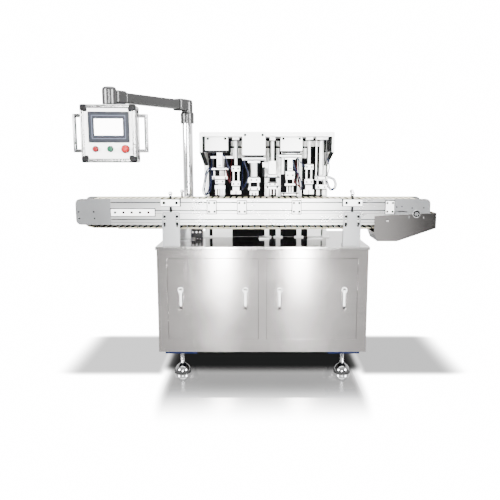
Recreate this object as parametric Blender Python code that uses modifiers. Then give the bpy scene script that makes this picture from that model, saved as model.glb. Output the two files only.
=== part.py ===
"""Bolus capping machine: a stainless cabinet on levelling feet carries a slat-chain conveyor,
a gantry with seven pneumatic capping stations above it, and an operator box on a swivel arm.

All sizes are metres. X runs along the conveyor, Y runs from the operator to the back, Z is up.
Heights are measured from the floor, X from the cabinet's middle, Y from the table's front edge.
The whole machine hangs from one empty, which is moved last so that the origin lies on the floor
under the middle of the machine.
"""
import math
from dataclasses import dataclass

import bmesh
import bpy
from mathutils import Matrix, Vector

# Clearances
FACE_GAP = 0.0003
PANEL_SEAM = 0.0022
SCREW_CLEARANCE = 0.0006
CHAIN_SIDE_CLEARANCE = 0.002
WELD_DISTANCE = 0.00002

# Cabinet and table
CABINET_WIDTH = 1.300
CABINET_DEPTH = 0.784
CABINET_UNDERSIDE = 0.152
TABLE_HEIGHT = 0.821
TABLE_OVERHANG = 0.0074
TABLE_RIM = 0.020
TABLE_SHEET = 0.003
CABINET_SHEET = 0.003
FRONT_FRAME_DEPTH = 0.026
MULLION_WIDTH = 0.054
PANEL_WIDTH = 0.558
PANEL_BOTTOM = 0.236
PANEL_TOP_MARGIN = 0.074
PANEL_THICKNESS = 0.020
PANEL_SHEET = 0.002
PANEL_REST = 0.015

# Levelling feet
FOOT_INSET_X = 0.140
FOOT_INSET_Y = 0.065
FOOT_PLATE_WIDTH = 0.200
FOOT_PLATE_DEPTH = 0.110
FOOT_PLATE_THICKNESS = 0.012
FOOT_BASE_RADIUS = 0.0525
FOOT_BASE_EDGE = 0.018
FOOT_DOME_TOP = 0.062
FOOT_STEM_RADIUS = 0.012
FOOT_NUT_RADIUS = 0.019
FOOT_NUT_HEIGHT = 0.014
FOOT_DOME_WAIST = 0.018

# Cabinet latches
LATCH_INSET = 0.079
LATCH_HEIGHT = 0.150
LATCH_WIDTH = 0.036
LATCH_PROUD = 0.006
LATCH_BORDER = 0.005
LATCH_RECESS = 0.016
LATCH_BACK = 0.003
LATCH_ROUNDING = 0.94
LEVER_WIDTH = 0.014
LEVER_LENGTH = 0.100
LEVER_THICKNESS = 0.008
LEVER_CORNER = 0.0056
LEVER_PIN_RADIUS = 0.0038
LEVER_PIN_DROP = 0.017
LOCK_RADIUS = 0.008
LOCK_LIFT = 0.014

# Slat chain: hinged links round a toothed wheel at each end
CHAIN_PITCH = 0.0381
CHAIN_WIDTH = 0.1905
CHAIN_WRAP_LINKS = 14
CHAIN_RUN_LINKS = 52
SLAT_RISE = 0.0064
SLAT_THICKNESS = 0.004
SLAT_GAP = 0.003
HINGE_DROP = 0.004
HINGE_HALF_WIDTH = 0.0030
DRIVE_AXIS_X = 0.9416
CHAIN_AXIS_RISE = 0.198
TOOTH_CLEARANCE = 0.0004
TOOTH_DEPTH = 0.0045
TOOTH_SPACE_SHARE = 0.56
TOOTH_TIP_SHARE = 0.26
WHEEL_THICKNESS = 0.044
SHAFT_RADIUS = 0.012
SHAFT_RUNNING_GAP = 0.0003

# Conveyor frame
CONVEYOR_FRONT = 0.052
RAIL_THICKNESS = 0.020
RAIL_BOTTOM_RISE = 0.129
RAIL_TOP_RISE = 0.289
RAIL_LEFT = -0.930
RAIL_RIGHT = 0.805
GROOVE_RISES = (0.0332, 0.0886, 0.1375)
GROOVE_MOUTH = 0.0055
GROOVE_CHAMBER = 0.012
GROOVE_LIP = 0.0025
GROOVE_DEPTH = 0.009
SCORE_RISES = (0.0146, 0.070)
SCORE_WIDTH = 0.002
SCORE_DEPTH = 0.001
END_PLATE_THICKNESS = 0.012
IDLER_PLATE_LEFT = -1.146
DRIVE_PLATE_RIGHT = 1.028
END_PLATE_CORNER = 0.030
END_HOLE_RADIUS = 0.0055
END_HOLE_DEPTH = 0.005
IDLER_HOLES = ((0.018, 0.080), (0.111, 0.080), (0.021, 0.039), (0.114, 0.039))
TENSION_SLOT_REACH = 0.046
TENSION_SLOT_RISE = 0.081
TENSION_SLOT_LENGTH = 0.078
SLOT_WIDTH = 0.006
BEARING_RADIUS = 0.0245
BEARING_PROUD = 0.008
SHAFT_STICKOUT = 0.004
TRACK_WIDTH = 0.018
TRACK_OFFSET = 0.060
TRACK_DEPTH = 0.024
TRACK_END_MARGIN = 0.105
TRACK_TIES = 7
TIE_WIDTH = 0.030
TIE_DEPTH = 0.012
RETURN_TRACK_LEFT = -0.900
RETURN_TRACK_RIGHT = 0.660
RETURN_STRIP_DEPTH = 0.008
HANGER_THICKNESS = 0.006
HANGER_WIDTH = 0.050

# Rail attachments
SPLICE_LEFT = -0.928
SPLICE_LENGTH = 0.268
SPLICE_BOTTOM_RISE = 0.185
SPLICE_HEIGHT = 0.042
SPLICE_THICKNESS = 0.006
SPLICE_CORNER = 0.0189
GUIDE_PLATE_CENTRES = (-0.311, -0.126, 0.208, 0.779)
GUIDE_PLATE_WIDTH = 0.052
GUIDE_PLATE_BOTTOM_RISE = 0.199
GUIDE_PLATE_HEIGHT = 0.0766
GUIDE_PLATE_THICKNESS = 0.005

# Support brackets and their jack screws
FRONT_BRACKETS = (-0.561, 0.548)
REAR_BRACKETS = (-0.523, 0.583)
BRACKET_WIDTH = 0.108
BRACKET_THICKNESS = 0.016
BRACKET_TOP_RISE = 0.209
BRACKET_CORNER = 0.014
BRACKET_FOOT_DEPTH = 0.050
BRACKET_FOOT_THICKNESS = 0.010
SLOT_OFFSET = 0.038
BRACKET_SLOT_WIDTH = 0.013
BRACKET_SLOT_BOTTOM_RISE = 0.117
BRACKET_SLOT_TOP_RISE = 0.200
CLAMP_WIDTH = 0.116
CLAMP_BOTTOM_RISE = 0.246
CLAMP_HEIGHT = 0.040
CLAMP_DEPTH = 0.024
CLAMP_CORNER = 0.014
SCREW_RADIUS = 0.007
KNOB_RADIUS = 0.012
KNOB_RISE = 0.322

# Drive cover: an open trough under the drive end
COVER_LEFT = 0.687
COVER_RIGHT = 1.067
COVER_TOP_LEFT_RISE = 0.185
COVER_TOP_RIGHT_RISE = 0.203
COVER_NOSE_BOTTOM_RISE = 0.108
COVER_FLOOR_RISE = 0.027
COVER_FLOOR_LEFT = 0.708
COVER_FLOOR_RIGHT = 0.831
COVER_LIP_BOTTOM_RISE = 0.080
COVER_SHEET = 0.0025
COVER_HOLE_REACH = 0.080
COVER_HOLE_RISE = 0.130
COVER_HOLE_RADIUS = 0.008
COVER_SLOTS = (0.897, 0.989)
COVER_SLOT_RISE = 0.177
COVER_SLOT_LENGTH = 0.016

# Gear motor behind the drive end
GEARBOX_WIDTH = 0.104
GEARBOX_HEIGHT = 0.110
GEARBOX_DEPTH = 0.116
GEARBOX_CORNER = 0.016
MOTOR_RADIUS = 0.056
MOTOR_BODY_RADIUS = 0.0515
MOTOR_LENGTH = 0.200
MOTOR_FAN_RADIUS = 0.050
MOTOR_FAN_LENGTH = 0.030
MOTOR_BOX_SIZE = 0.060
MOTOR_BOX_WIDTH = 0.084

# Gantry
GANTRY_LEFT = -0.387
GANTRY_RIGHT = 0.440
GANTRY_MEMBER = 0.028
GANTRY_FRONT = 0.115
POST_FRONT = 0.423
POST_DEPTH = 0.040
GUSSET_DROP_FRONT = 0.094
GUSSET_DROP_BACK = 0.1785
ROOF_THICKNESS = 0.0265
BACK_PANEL_THICKNESS = 0.003
POST_FOOT_WIDTH = 0.070
POST_FOOT_THICKNESS = 0.008
BEAM_FRONT = 0.425
BEAM_DEPTH = 0.030
UPPER_BEAM_DROP = 0.0565
UPPER_BEAM_HEIGHT = 0.040
LOWER_BEAM_DROP = 0.130
LOWER_BEAM_HEIGHT = 0.0695
LOWER_BEAM_RIGHT = 0.300
COLUMN_CENTRES = (-0.270, 0.033, 0.110, 0.252)
COLUMN_WIDTH = 0.030
COLUMN_DEPTH = 0.024
COLUMN_FOOT_WIDTH = 0.060
WIDE_PLATE_WIDTH = 0.134
WIDE_PLATE_HEIGHT = 0.110
LONG_FOOT_FRONT = 0.333
LONG_FOOT_LEFT = -0.020
SIDE_BRACKET_LEFT = 0.310
SIDE_BRACKET_WIDTH = 0.092
SIDE_BRACKET_HEIGHT = 0.100
SIDE_BRACKET_SHEET = 0.010

# Operator pole, arm and box
POLE_X = -0.491
POLE_Y = 0.395
POLE_RADIUS = 0.033
POLE_TOP_RISE = 0.7585
POLE_SPIGOT_RADIUS = 0.020
POLE_SPIGOT_HEIGHT = 0.040
POLE_FLANGE_RADIUS = 0.062
POLE_FLANGE_THICKNESS = 0.012
VALVE_BLOCK_LENGTH = 0.062
VALVE_BLOCK_DEPTH = 0.070
VALVE_BLOCK_HEIGHT = 0.062
COLLAR_RADIUS = 0.0435
COLLAR_TOP_RISE = 0.831
ELBOW_RADIUS = 0.036
ELBOW_TOP_RISE = 0.911
ARM_CENTRE_RISE = 0.874
ARM_WIDTH = 0.060
ARM_HEIGHT = 0.058
ARM_CORNER = 0.010
ARM_LENGTH = 0.669
ARM_YAW = math.radians(236.8325)
ARM_CLAMP_LENGTH = 0.078
ARM_CLAMP_START = 0.026
ARM_CLAMP_MARGIN = 0.008
NECK_RADIUS = 0.040
NECK_SEAM_RISE = 0.834
NECK_TOP_RISE = 0.927
BOX_YAW = math.radians(4.5)
BOX_WIDTH = 0.300
BOX_BOTTOM_RISE = 0.510
BOX_TOP_RISE = 0.825
BOX_DEPTH = 0.170
BOX_CORNER = 0.022
BOX_BORDER = 0.022
BOX_FACE_RECESS = 0.003
SCREEN_FRAME_WIDTH = 0.222
SCREEN_FRAME_HEIGHT = 0.166
SCREEN_FRAME_THICKNESS = 0.008
SCREEN_FRAME_CORNER = 0.010
SCREEN_FRAME_MIDDLE_RISE = 0.702
SCREEN_FRAME_SHIFT = 0.004
SCREEN_WIDTH = 0.156
SCREEN_HEIGHT = 0.090
SCREEN_RECESS = 0.0015
BUTTON_RISE = 0.584
STOP_OFFSET = -0.072
START_OFFSET = 0.008
EMERGENCY_OFFSET = 0.090
BUTTON_STEM_RADIUS = 0.009
BUTTON_BORE_DEPTH = 0.024
BUTTON_TRAVEL_SPACE = 0.007
BUTTON_CAP_RADIUS = 0.0135
BUTTON_CAP_THICKNESS = 0.006
EMERGENCY_CAP_RADIUS = 0.020
EMERGENCY_CAP_THICKNESS = 0.014
HANDLE_BOTTOM_RISE = 0.565
HANDLE_TOP_RISE = 0.779
HANDLE_REACH = 0.059
HANDLE_BAR = 0.022
HANDLE_END = 0.020
HANDLE_DEPTH = 0.024

# Capping stations: the heads' tips stay this high over the chain, and the roof this high over them
HEAD_CLEARANCE = 0.0155
HEADROOM = 0.360
HEAD_DEPTH = 0.044
HEAD_STOP_GAP = 0.002
BLOCK_DEPTH = 0.050
HOOD_FRONT = 0.135
HOOD_DEPTH = 0.100
TALL_HOOD_FRONT = 0.075
TALL_HOOD_BACK = 0.205
TALL_HOOD_HALF_WIDTH = 0.070
TALL_HOOD_DROP = 0.1122
TALL_HOOD_SKIN = 0.010
GUIDE_ROD_GAP = 0.0003
GUIDE_ROD_STICKOUT = 0.004
GUIDE_BORE_MARGIN = 0.005
OVERLAP = 0.002

# Hoses
HOSE_RADIUS = 0.004

# Derived places
CHAIN_AXIS_Z = TABLE_HEIGHT + CHAIN_AXIS_RISE
RAIL_BOTTOM = TABLE_HEIGHT + RAIL_BOTTOM_RISE
RAIL_TOP = TABLE_HEIGHT + RAIL_TOP_RISE
SPLICE_BOTTOM = TABLE_HEIGHT + SPLICE_BOTTOM_RISE
GUIDE_PLATE_BOTTOM = TABLE_HEIGHT + GUIDE_PLATE_BOTTOM_RISE
BRACKET_TOP = TABLE_HEIGHT + BRACKET_TOP_RISE
BRACKET_SLOT_BOTTOM = TABLE_HEIGHT + BRACKET_SLOT_BOTTOM_RISE
BRACKET_SLOT_TOP = TABLE_HEIGHT + BRACKET_SLOT_TOP_RISE
CLAMP_BOTTOM = TABLE_HEIGHT + CLAMP_BOTTOM_RISE
KNOB_HEIGHT = TABLE_HEIGHT + KNOB_RISE
COVER_TOP_LEFT = TABLE_HEIGHT + COVER_TOP_LEFT_RISE
COVER_TOP_RIGHT = TABLE_HEIGHT + COVER_TOP_RIGHT_RISE
COVER_NOSE_BOTTOM = TABLE_HEIGHT + COVER_NOSE_BOTTOM_RISE
COVER_FLOOR = TABLE_HEIGHT + COVER_FLOOR_RISE
COVER_LIP_BOTTOM = TABLE_HEIGHT + COVER_LIP_BOTTOM_RISE
COVER_SLOT_HEIGHT = TABLE_HEIGHT + COVER_SLOT_RISE
POLE_TOP = TABLE_HEIGHT + POLE_TOP_RISE
COLLAR_TOP = TABLE_HEIGHT + COLLAR_TOP_RISE
ELBOW_TOP = TABLE_HEIGHT + ELBOW_TOP_RISE
ARM_CENTRE_Z = TABLE_HEIGHT + ARM_CENTRE_RISE
NECK_SEAM = TABLE_HEIGHT + NECK_SEAM_RISE
NECK_TOP = TABLE_HEIGHT + NECK_TOP_RISE
BOX_BOTTOM = TABLE_HEIGHT + BOX_BOTTOM_RISE
BOX_TOP = TABLE_HEIGHT + BOX_TOP_RISE
SCREEN_FRAME_MIDDLE = TABLE_HEIGHT + SCREEN_FRAME_MIDDLE_RISE
BUTTON_HEIGHT = TABLE_HEIGHT + BUTTON_RISE
HANDLE_BOTTOM = TABLE_HEIGHT + HANDLE_BOTTOM_RISE
HANDLE_TOP = TABLE_HEIGHT + HANDLE_TOP_RISE
PANEL_HEIGHT = TABLE_HEIGHT - PANEL_TOP_MARGIN - PANEL_BOTTOM
LATCH_MIDDLE = PANEL_BOTTOM + PANEL_HEIGHT / 2
BOX_PIVOT_X = POLE_X + ARM_LENGTH * math.cos(ARM_YAW)
BOX_PIVOT_Y = POLE_Y + ARM_LENGTH * math.sin(ARM_YAW)
CONVEYOR_MIDDLE = CONVEYOR_FRONT + RAIL_THICKNESS + CHAIN_SIDE_CLEARANCE + CHAIN_WIDTH / 2
PIN_RADIUS = CHAIN_PITCH / (2 * math.sin(math.pi / CHAIN_WRAP_LINKS))
BARREL_REACH = math.hypot(PIN_RADIUS * math.cos(math.pi / CHAIN_WRAP_LINKS) - HINGE_DROP,
                          CHAIN_PITCH / 2 - HINGE_HALF_WIDTH)
WHEEL_RADIUS = BARREL_REACH - TOOTH_CLEARANCE
IDLER_AXIS_X = DRIVE_AXIS_X - CHAIN_RUN_LINKS * CHAIN_PITCH
HEAD_LOWEST = CHAIN_AXIS_Z + PIN_RADIUS + SLAT_RISE + HEAD_CLEARANCE
ROOF_BOTTOM = HEAD_LOWEST + HEADROOM
STATION_TOP = ROOF_BOTTOM - FACE_GAP
ARM_BOTTOM_FRONT = ROOF_BOTTOM - GUSSET_DROP_FRONT
ARM_BOTTOM_BACK = ROOF_BOTTOM - GUSSET_DROP_BACK
UPPER_BEAM_BOTTOM = ROOF_BOTTOM - UPPER_BEAM_DROP
LOWER_BEAM_BOTTOM = ROOF_BOTTOM - LOWER_BEAM_DROP
TABLE_FACE = TABLE_HEIGHT + FACE_GAP
BRACKET_BACK = CONVEYOR_FRONT - FACE_GAP
SCREW_AXIS_Y = BRACKET_BACK - BRACKET_THICKNESS / 2

FINISHES = {
    "brushed_steel": ((0.60, 0.60, 0.61), 0.32, 1.0),
    "polished_steel": ((0.75, 0.75, 0.76), 0.16, 1.0),
    "anodised": ((0.68, 0.69, 0.70), 0.38, 1.0),
    "machined": ((0.80, 0.80, 0.81), 0.30, 1.0),
    "black_steel": ((0.012, 0.012, 0.013), 0.45, 0.0),
    "acetal": ((0.74, 0.71, 0.59), 0.42, 0.0),
    "arm_grey": ((0.27, 0.27, 0.27), 0.40, 0.6),
    "motor_grey": ((0.20, 0.22, 0.24), 0.50, 0.0),
    "white_face": ((0.80, 0.80, 0.80), 0.45, 0.0),
    "slate": ((0.18, 0.21, 0.27), 0.40, 0.0),
    "red": ((0.55, 0.03, 0.05), 0.30, 0.0),
    "green": ((0.02, 0.33, 0.17), 0.30, 0.0),
    "navy_hose": ((0.02, 0.04, 0.15), 0.30, 0.0),
}


def clear_scene():
    """Remove whatever the file holds, so that the script starts from nothing."""
    for item in list(bpy.data.objects):
        bpy.data.objects.remove(item, do_unlink=True)


clear_scene()
COLLECTION = bpy.data.collections.new("bolus_capping_machine")
bpy.context.scene.collection.children.link(COLLECTION)


# Building blocks: each makes one closed raw solid in the machine's own frame
def raw_object(mesh):
    """Put a mesh in the scene as an unnamed solid."""
    raw = bpy.data.objects.new("raw", mesh)
    COLLECTION.objects.link(raw)
    return raw


def from_bmesh(shape):
    """Turn an edited shape into a raw solid."""
    bmesh.ops.recalc_face_normals(shape, faces=shape.faces)
    mesh = bpy.data.meshes.new("raw")
    shape.to_mesh(mesh)
    shape.free()
    return raw_object(mesh)


def box(x_range, y_range, z_range):
    """A block between the low and high value of each axis."""
    low = Vector((x_range[0], y_range[0], z_range[0]))
    high = Vector((x_range[1], y_range[1], z_range[1]))
    shape = bmesh.new()
    bmesh.ops.create_cube(shape, size=1.0)
    bmesh.ops.scale(shape, vec=high - low, verts=shape.verts)
    bmesh.ops.translate(shape, vec=(low + high) / 2, verts=shape.verts)
    return from_bmesh(shape)


def block(centre_x, width, centre_y, depth, z_range):
    """A block given by its middle and width in plan, and its heights."""
    return box((centre_x - width / 2, centre_x + width / 2),
               (centre_y - depth / 2, centre_y + depth / 2), z_range)


def rod(start, end, radius, sides=16):
    """A round bar from one point to another."""
    start = Vector(start)
    end = Vector(end)
    shape = bmesh.new()
    bmesh.ops.create_cone(shape, cap_ends=True, segments=sides, radius1=radius, radius2=radius,
                          depth=(end - start).length)
    turn = Vector((0, 0, 1)).rotation_difference(end - start).to_matrix()
    bmesh.ops.rotate(shape, matrix=turn, verts=shape.verts)
    bmesh.ops.translate(shape, vec=(start + end) / 2, verts=shape.verts)
    return from_bmesh(shape)


def evaluated_mesh(item):
    """The mesh of an object with its modifiers, as a new mesh."""
    graph = bpy.context.evaluated_depsgraph_get()
    graph.update()
    return bpy.data.meshes.new_from_object(item.evaluated_get(graph))


def turned(profile, centre_x, centre_y, sides=24):
    """A solid of revolution about an upright axis; the profile runs top to bottom as (radius, z)."""
    mesh = bpy.data.meshes.new("profile")
    edges = [(index, index + 1) for index in range(len(profile) - 1)]
    mesh.from_pydata([(radius, 0.0, height) for radius, height in profile], edges, [])
    item = raw_object(mesh)
    screw = item.modifiers.new("turn", "SCREW")
    screw.steps = sides
    screw.render_steps = sides
    screw.use_merge_vertices = True
    screw.merge_threshold = WELD_DISTANCE
    result = evaluated_mesh(item)
    bpy.data.objects.remove(item)
    result.transform(Matrix.Translation((centre_x, centre_y, 0.0)))
    return raw_object(result)


PLANES = {
    "XY": Matrix(((1, 0, 0, 0), (0, 1, 0, 0), (0, 0, 1, 0), (0, 0, 0, 1))),
    "XZ": Matrix(((1, 0, 0, 0), (0, 0, -1, 0), (0, 1, 0, 0), (0, 0, 0, 1))),
    "YZ": Matrix(((0, 0, 1, 0), (1, 0, 0, 0), (0, 1, 0, 0), (0, 0, 0, 1))),
}
NORMALS = {"XY": Vector((0, 0, 1)), "XZ": Vector((0, 1, 0)), "YZ": Vector((1, 0, 0))}


def plate(outline, span, plane="XZ", holes=()):
    """A flat outline with holes, extruded between two places along the plane's normal."""
    curve = bpy.data.curves.new("outline", "CURVE")
    curve.dimensions = "2D"
    curve.fill_mode = "BOTH"
    curve.extrude = (span[1] - span[0]) / 2
    for loop in (outline, *holes):
        spline = curve.splines.new("POLY")
        spline.points.add(len(loop) - 1)
        for point, (across, along) in zip(spline.points, loop):
            point.co = (across, along, 0.0, 1.0)
        spline.use_cyclic_u = True
    item = raw_object(curve)
    mesh = evaluated_mesh(item)
    bpy.data.objects.remove(item)
    shape = bmesh.new()
    shape.from_mesh(mesh)
    bmesh.ops.remove_doubles(shape, verts=shape.verts, dist=WELD_DISTANCE)
    shape.transform(Matrix.Translation(NORMALS[plane] * (span[0] + span[1]) / 2) @ PLANES[plane])
    return from_bmesh(shape)


def arc(centre, radius, start, end, steps):
    """Points along an arc, angles in degrees."""
    points = []
    for step in range(steps + 1):
        angle = math.radians(start + (end - start) * step / steps)
        points.append((centre[0] + radius * math.cos(angle), centre[1] + radius * math.sin(angle)))
    return points


def rounded(left, right, bottom, top, radii, steps=4):
    """A rectangle with its own radius at bottom left, bottom right, top right and top left."""
    corners = ((left, bottom, 180, 1, 1), (right, bottom, 270, -1, 1),
               (right, top, 0, -1, -1), (left, top, 90, 1, -1))
    outline = []
    for (corner_x, corner_z, start, inward_x, inward_z), radius in zip(corners, radii):
        if radius == 0:
            outline.append((corner_x, corner_z))
            continue
        centre = (corner_x + inward_x * radius, corner_z + inward_z * radius)
        outline.extend(arc(centre, radius, start, start + 90, steps))
    return outline


def upright_slot(centre_x, bottom, top, width, steps=4):
    """A vertical slot with round ends."""
    radius = width / 2
    return (arc((centre_x, bottom + radius), radius, 180, 360, steps)
            + arc((centre_x, top - radius), radius, 0, 180, steps))


def level_slot(centre, length, width, steps=4):
    """A horizontal slot with round ends."""
    radius = width / 2
    reach = length / 2 - radius
    return (arc((centre[0] + reach, centre[1]), radius, -90, 90, steps)
            + arc((centre[0] - reach, centre[1]), radius, 90, 270, steps))


def offset_path(points, distance):
    """An open path moved to its left by a sheet's thickness, mitred at each fold."""
    moved = []
    for index, point in enumerate(points):
        here = Vector(point)
        sides = []
        if index > 0:
            sides.append((here - Vector(points[index - 1])).normalized())
        if index < len(points) - 1:
            sides.append((Vector(points[index + 1]) - here).normalized())
        normals = [Vector((-side.y, side.x)) for side in sides]
        mitre = sum(normals, Vector((0.0, 0.0))).normalized()
        moved.append(tuple(here + mitre * distance / mitre.dot(normals[0])))
    return moved


def combine(target, tool, operation):
    """Join or cut the first solid with the second, which is used up."""
    modifier = target.modifiers.new(operation.lower(), "BOOLEAN")
    modifier.operation = operation
    modifier.solver = "EXACT"
    modifier.object = tool
    mesh = evaluated_mesh(target)
    target.modifiers.clear()
    target.data = mesh
    bpy.data.objects.remove(tool)
    return target


def fuse(first, *others):
    """One solid made of several that run into each other."""
    for other in others:
        combine(first, other, "UNION")
    return first


def cut(target, *tools):
    """A solid with pieces taken away."""
    for tool in tools:
        combine(target, tool, "DIFFERENCE")
    return target


def mirrored(item, middle_y):
    """Turn a raw solid into its mirror image across an upright plane along the conveyor."""
    flip = Matrix.Translation((0, 2 * middle_y, 0)) @ Matrix.Scale(-1, 4, (0, 1, 0))
    item.data.transform(flip)
    item.data.flip_normals()
    return item


def finish(name, item, look, parent, pivot=(0.0, 0.0, 0.0)):
    """Name a raw solid, put its origin at its pivot, dress it and hang it on its parent."""
    item.data.transform(Matrix.Translation(-Vector(pivot)))
    item.location = pivot
    item.name = name
    item.data.name = name
    colour, roughness, metallic = FINISHES[look]
    material = bpy.data.materials.new(name)
    material.use_nodes = True
    shader = material.node_tree.nodes["Principled BSDF"]
    shader.inputs["Base Color"].default_value = (*colour, 1.0)
    shader.inputs["Roughness"].default_value = roughness
    shader.inputs["Metallic"].default_value = metallic
    item.data.materials.clear()
    item.data.materials.append(material)
    item.data.shade_smooth()
    item.data.set_sharp_from_angle(angle=math.radians(35))
    item.parent = parent
    return item


def empty(name, place, parent=None, yaw=0.0):
    """A frame that pieces hang from."""
    frame = bpy.data.objects.new(name, None)
    frame.location = place
    frame.rotation_euler = (0.0, 0.0, yaw)
    frame.parent = parent
    COLLECTION.objects.link(frame)
    return frame


# Cabinet, table top and feet
def build_cabinet(machine):
    half = CABINET_WIDTH / 2
    front = TABLE_OVERHANG
    back = front + CABINET_DEPTH
    top = TABLE_HEIGHT - TABLE_SHEET - FACE_GAP
    carcass = box((-half, half), (front, back), (CABINET_UNDERSIDE, top))
    cavity = box((-half + CABINET_SHEET, half - CABINET_SHEET),
                 (front + FRONT_FRAME_DEPTH, back - CABINET_SHEET),
                 (CABINET_UNDERSIDE + CABINET_SHEET, top + CABINET_SHEET))
    cut(carcass, cavity)
    for side in (-1, 1):
        middle = side * (MULLION_WIDTH + PANEL_WIDTH) / 2
        seat = PANEL_WIDTH + 2 * PANEL_SEAM
        low = PANEL_BOTTOM - FACE_GAP
        high = PANEL_BOTTOM + PANEL_HEIGHT + PANEL_SEAM
        rebate = box((middle - seat / 2, middle + seat / 2),
                     (front - FRONT_FRAME_DEPTH, front + PANEL_THICKNESS + FACE_GAP), (low, high))
        window = box((middle - PANEL_WIDTH / 2 + PANEL_REST, middle + PANEL_WIDTH / 2 - PANEL_REST),
                     (front, front + 2 * FRONT_FRAME_DEPTH),
                     (PANEL_BOTTOM + PANEL_REST, PANEL_BOTTOM + PANEL_HEIGHT - PANEL_REST))
        cut(carcass, rebate, window)
    finish("cabinet", carcass, "brushed_steel", machine)

    half_top = half + TABLE_OVERHANG
    tray = box((-half_top, half_top), (0.0, CABINET_DEPTH + 2 * TABLE_OVERHANG),
               (TABLE_HEIGHT - TABLE_RIM, TABLE_HEIGHT))
    underside = box((-half_top + TABLE_SHEET, half_top - TABLE_SHEET),
                    (TABLE_SHEET, CABINET_DEPTH + 2 * TABLE_OVERHANG - TABLE_SHEET),
                    (TABLE_HEIGHT - 2 * TABLE_RIM, TABLE_HEIGHT - TABLE_SHEET))
    finish("table_top", cut(tray, underside), "brushed_steel", machine)


def build_feet(machine):
    plate_top = CABINET_UNDERSIDE - FACE_GAP
    plate_bottom = plate_top - FOOT_PLATE_THICKNESS
    neck = FOOT_DOME_WAIST
    profile = [(0.0, plate_top - FOOT_PLATE_THICKNESS / 2),
               (FOOT_STEM_RADIUS, plate_top - FOOT_PLATE_THICKNESS / 2),
               (FOOT_STEM_RADIUS, FOOT_DOME_TOP),
               (neck, FOOT_DOME_TOP)]
    dome_height = FOOT_DOME_TOP - FOOT_BASE_EDGE
    for step in range(1, 4):
        share = step / 4
        profile.append((neck + (FOOT_BASE_RADIUS - neck) * math.sin(share * math.pi / 2),
                        FOOT_BASE_EDGE + dome_height * math.cos(share * math.pi / 2)))
    profile += [(FOOT_BASE_RADIUS, FOOT_BASE_EDGE), (FOOT_BASE_RADIUS, 0.0), (0.0, 0.0)]
    for depth, y in (("front", FOOT_INSET_Y),
                     ("rear", CABINET_DEPTH + 2 * TABLE_OVERHANG - FOOT_INSET_Y)):
        for side, sign in (("left", -1), ("right", 1)):
            x = sign * (CABINET_WIDTH / 2 - FOOT_INSET_X)
            foot = turned(profile, x, y, sides=16)
            nut = rod((x, y, plate_bottom - FOOT_NUT_HEIGHT), (x, y, plate_bottom + FACE_GAP),
                      FOOT_NUT_RADIUS, sides=6)
            pad = block(x, FOOT_PLATE_WIDTH, y, FOOT_PLATE_DEPTH, (plate_bottom, plate_top))
            fuse(foot, nut, pad)
            finish(f"levelling_foot_{depth}_{side}", foot, "polished_steel", machine,
                   (x, y, plate_bottom))


# Front panels with their latches
def build_panels(machine):
    front = TABLE_OVERHANG
    number = 0
    for side, sign in (("left", -1), ("right", 1)):
        middle = sign * (MULLION_WIDTH + PANEL_WIDTH) / 2
        left = middle - PANEL_WIDTH / 2
        right = middle + PANEL_WIDTH / 2
        top = PANEL_BOTTOM + PANEL_HEIGHT
        panel = box((left, right), (front, front + PANEL_THICKNESS), (PANEL_BOTTOM, top))
        hollow = box((left + PANEL_SHEET, right - PANEL_SHEET),
                     (front + PANEL_SHEET, front + 2 * PANEL_THICKNESS),
                     (PANEL_BOTTOM + PANEL_SHEET, top - PANEL_SHEET))
        cut(panel, hollow)
        low = LATCH_MIDDLE - LATCH_HEIGHT / 2
        high = LATCH_MIDDLE + LATCH_HEIGHT / 2
        centres = (left + LATCH_INSET, right - LATCH_INSET)
        for x in centres:
            half = LATCH_WIDTH / 2
            shell = plate(rounded(x - half, x + half, low, high, (half * LATCH_ROUNDING,) * 4, 3),
                          (front - LATCH_PROUD, front - LATCH_PROUD + LATCH_RECESS + LATCH_BACK))
            inner = half - LATCH_BORDER
            recess = plate(rounded(x - inner, x + inner, low + LATCH_BORDER, high - LATCH_BORDER,
                                   (inner * LATCH_ROUNDING,) * 4, 3),
                           (front - 2 * LATCH_PROUD, front - LATCH_PROUD + LATCH_RECESS))
            lock_z = low + LATCH_BORDER + LOCK_LIFT
            lock = rod((x, front - LATCH_PROUD, lock_z),
                       (x, front - LATCH_PROUD + LATCH_RECESS + LATCH_BACK / 2, lock_z),
                       LOCK_RADIUS, sides=8)
            fuse(panel, shell)
            cut(panel, recess)
            fuse(panel, lock)
        finish(f"access_panel_{side}", panel, "brushed_steel", machine, (middle, front, PANEL_BOTTOM))
        for x in centres:
            number += 1
            pin_z = high - LATCH_BORDER - LEVER_PIN_DROP
            pin_y = front - LATCH_PROUD + LEVER_THICKNESS / 2
            inner = LATCH_WIDTH / 2 - LATCH_BORDER - FACE_GAP
            tip = pin_z + LEVER_THICKNESS / 2
            lever = plate(rounded(x - LEVER_WIDTH / 2, x + LEVER_WIDTH / 2, tip - LEVER_LENGTH, tip,
                                  (LEVER_CORNER,) * 4, 2),
                          (front - LATCH_PROUD, front - LATCH_PROUD + LEVER_THICKNESS))
            pin = rod((x - inner, pin_y, pin_z), (x + inner, pin_y, pin_z), LEVER_PIN_RADIUS, 8)
            fuse(lever, pin)
            finish(f"latch_lever_{number}", lever, "polished_steel", machine, (x, pin_y, pin_z))


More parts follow.
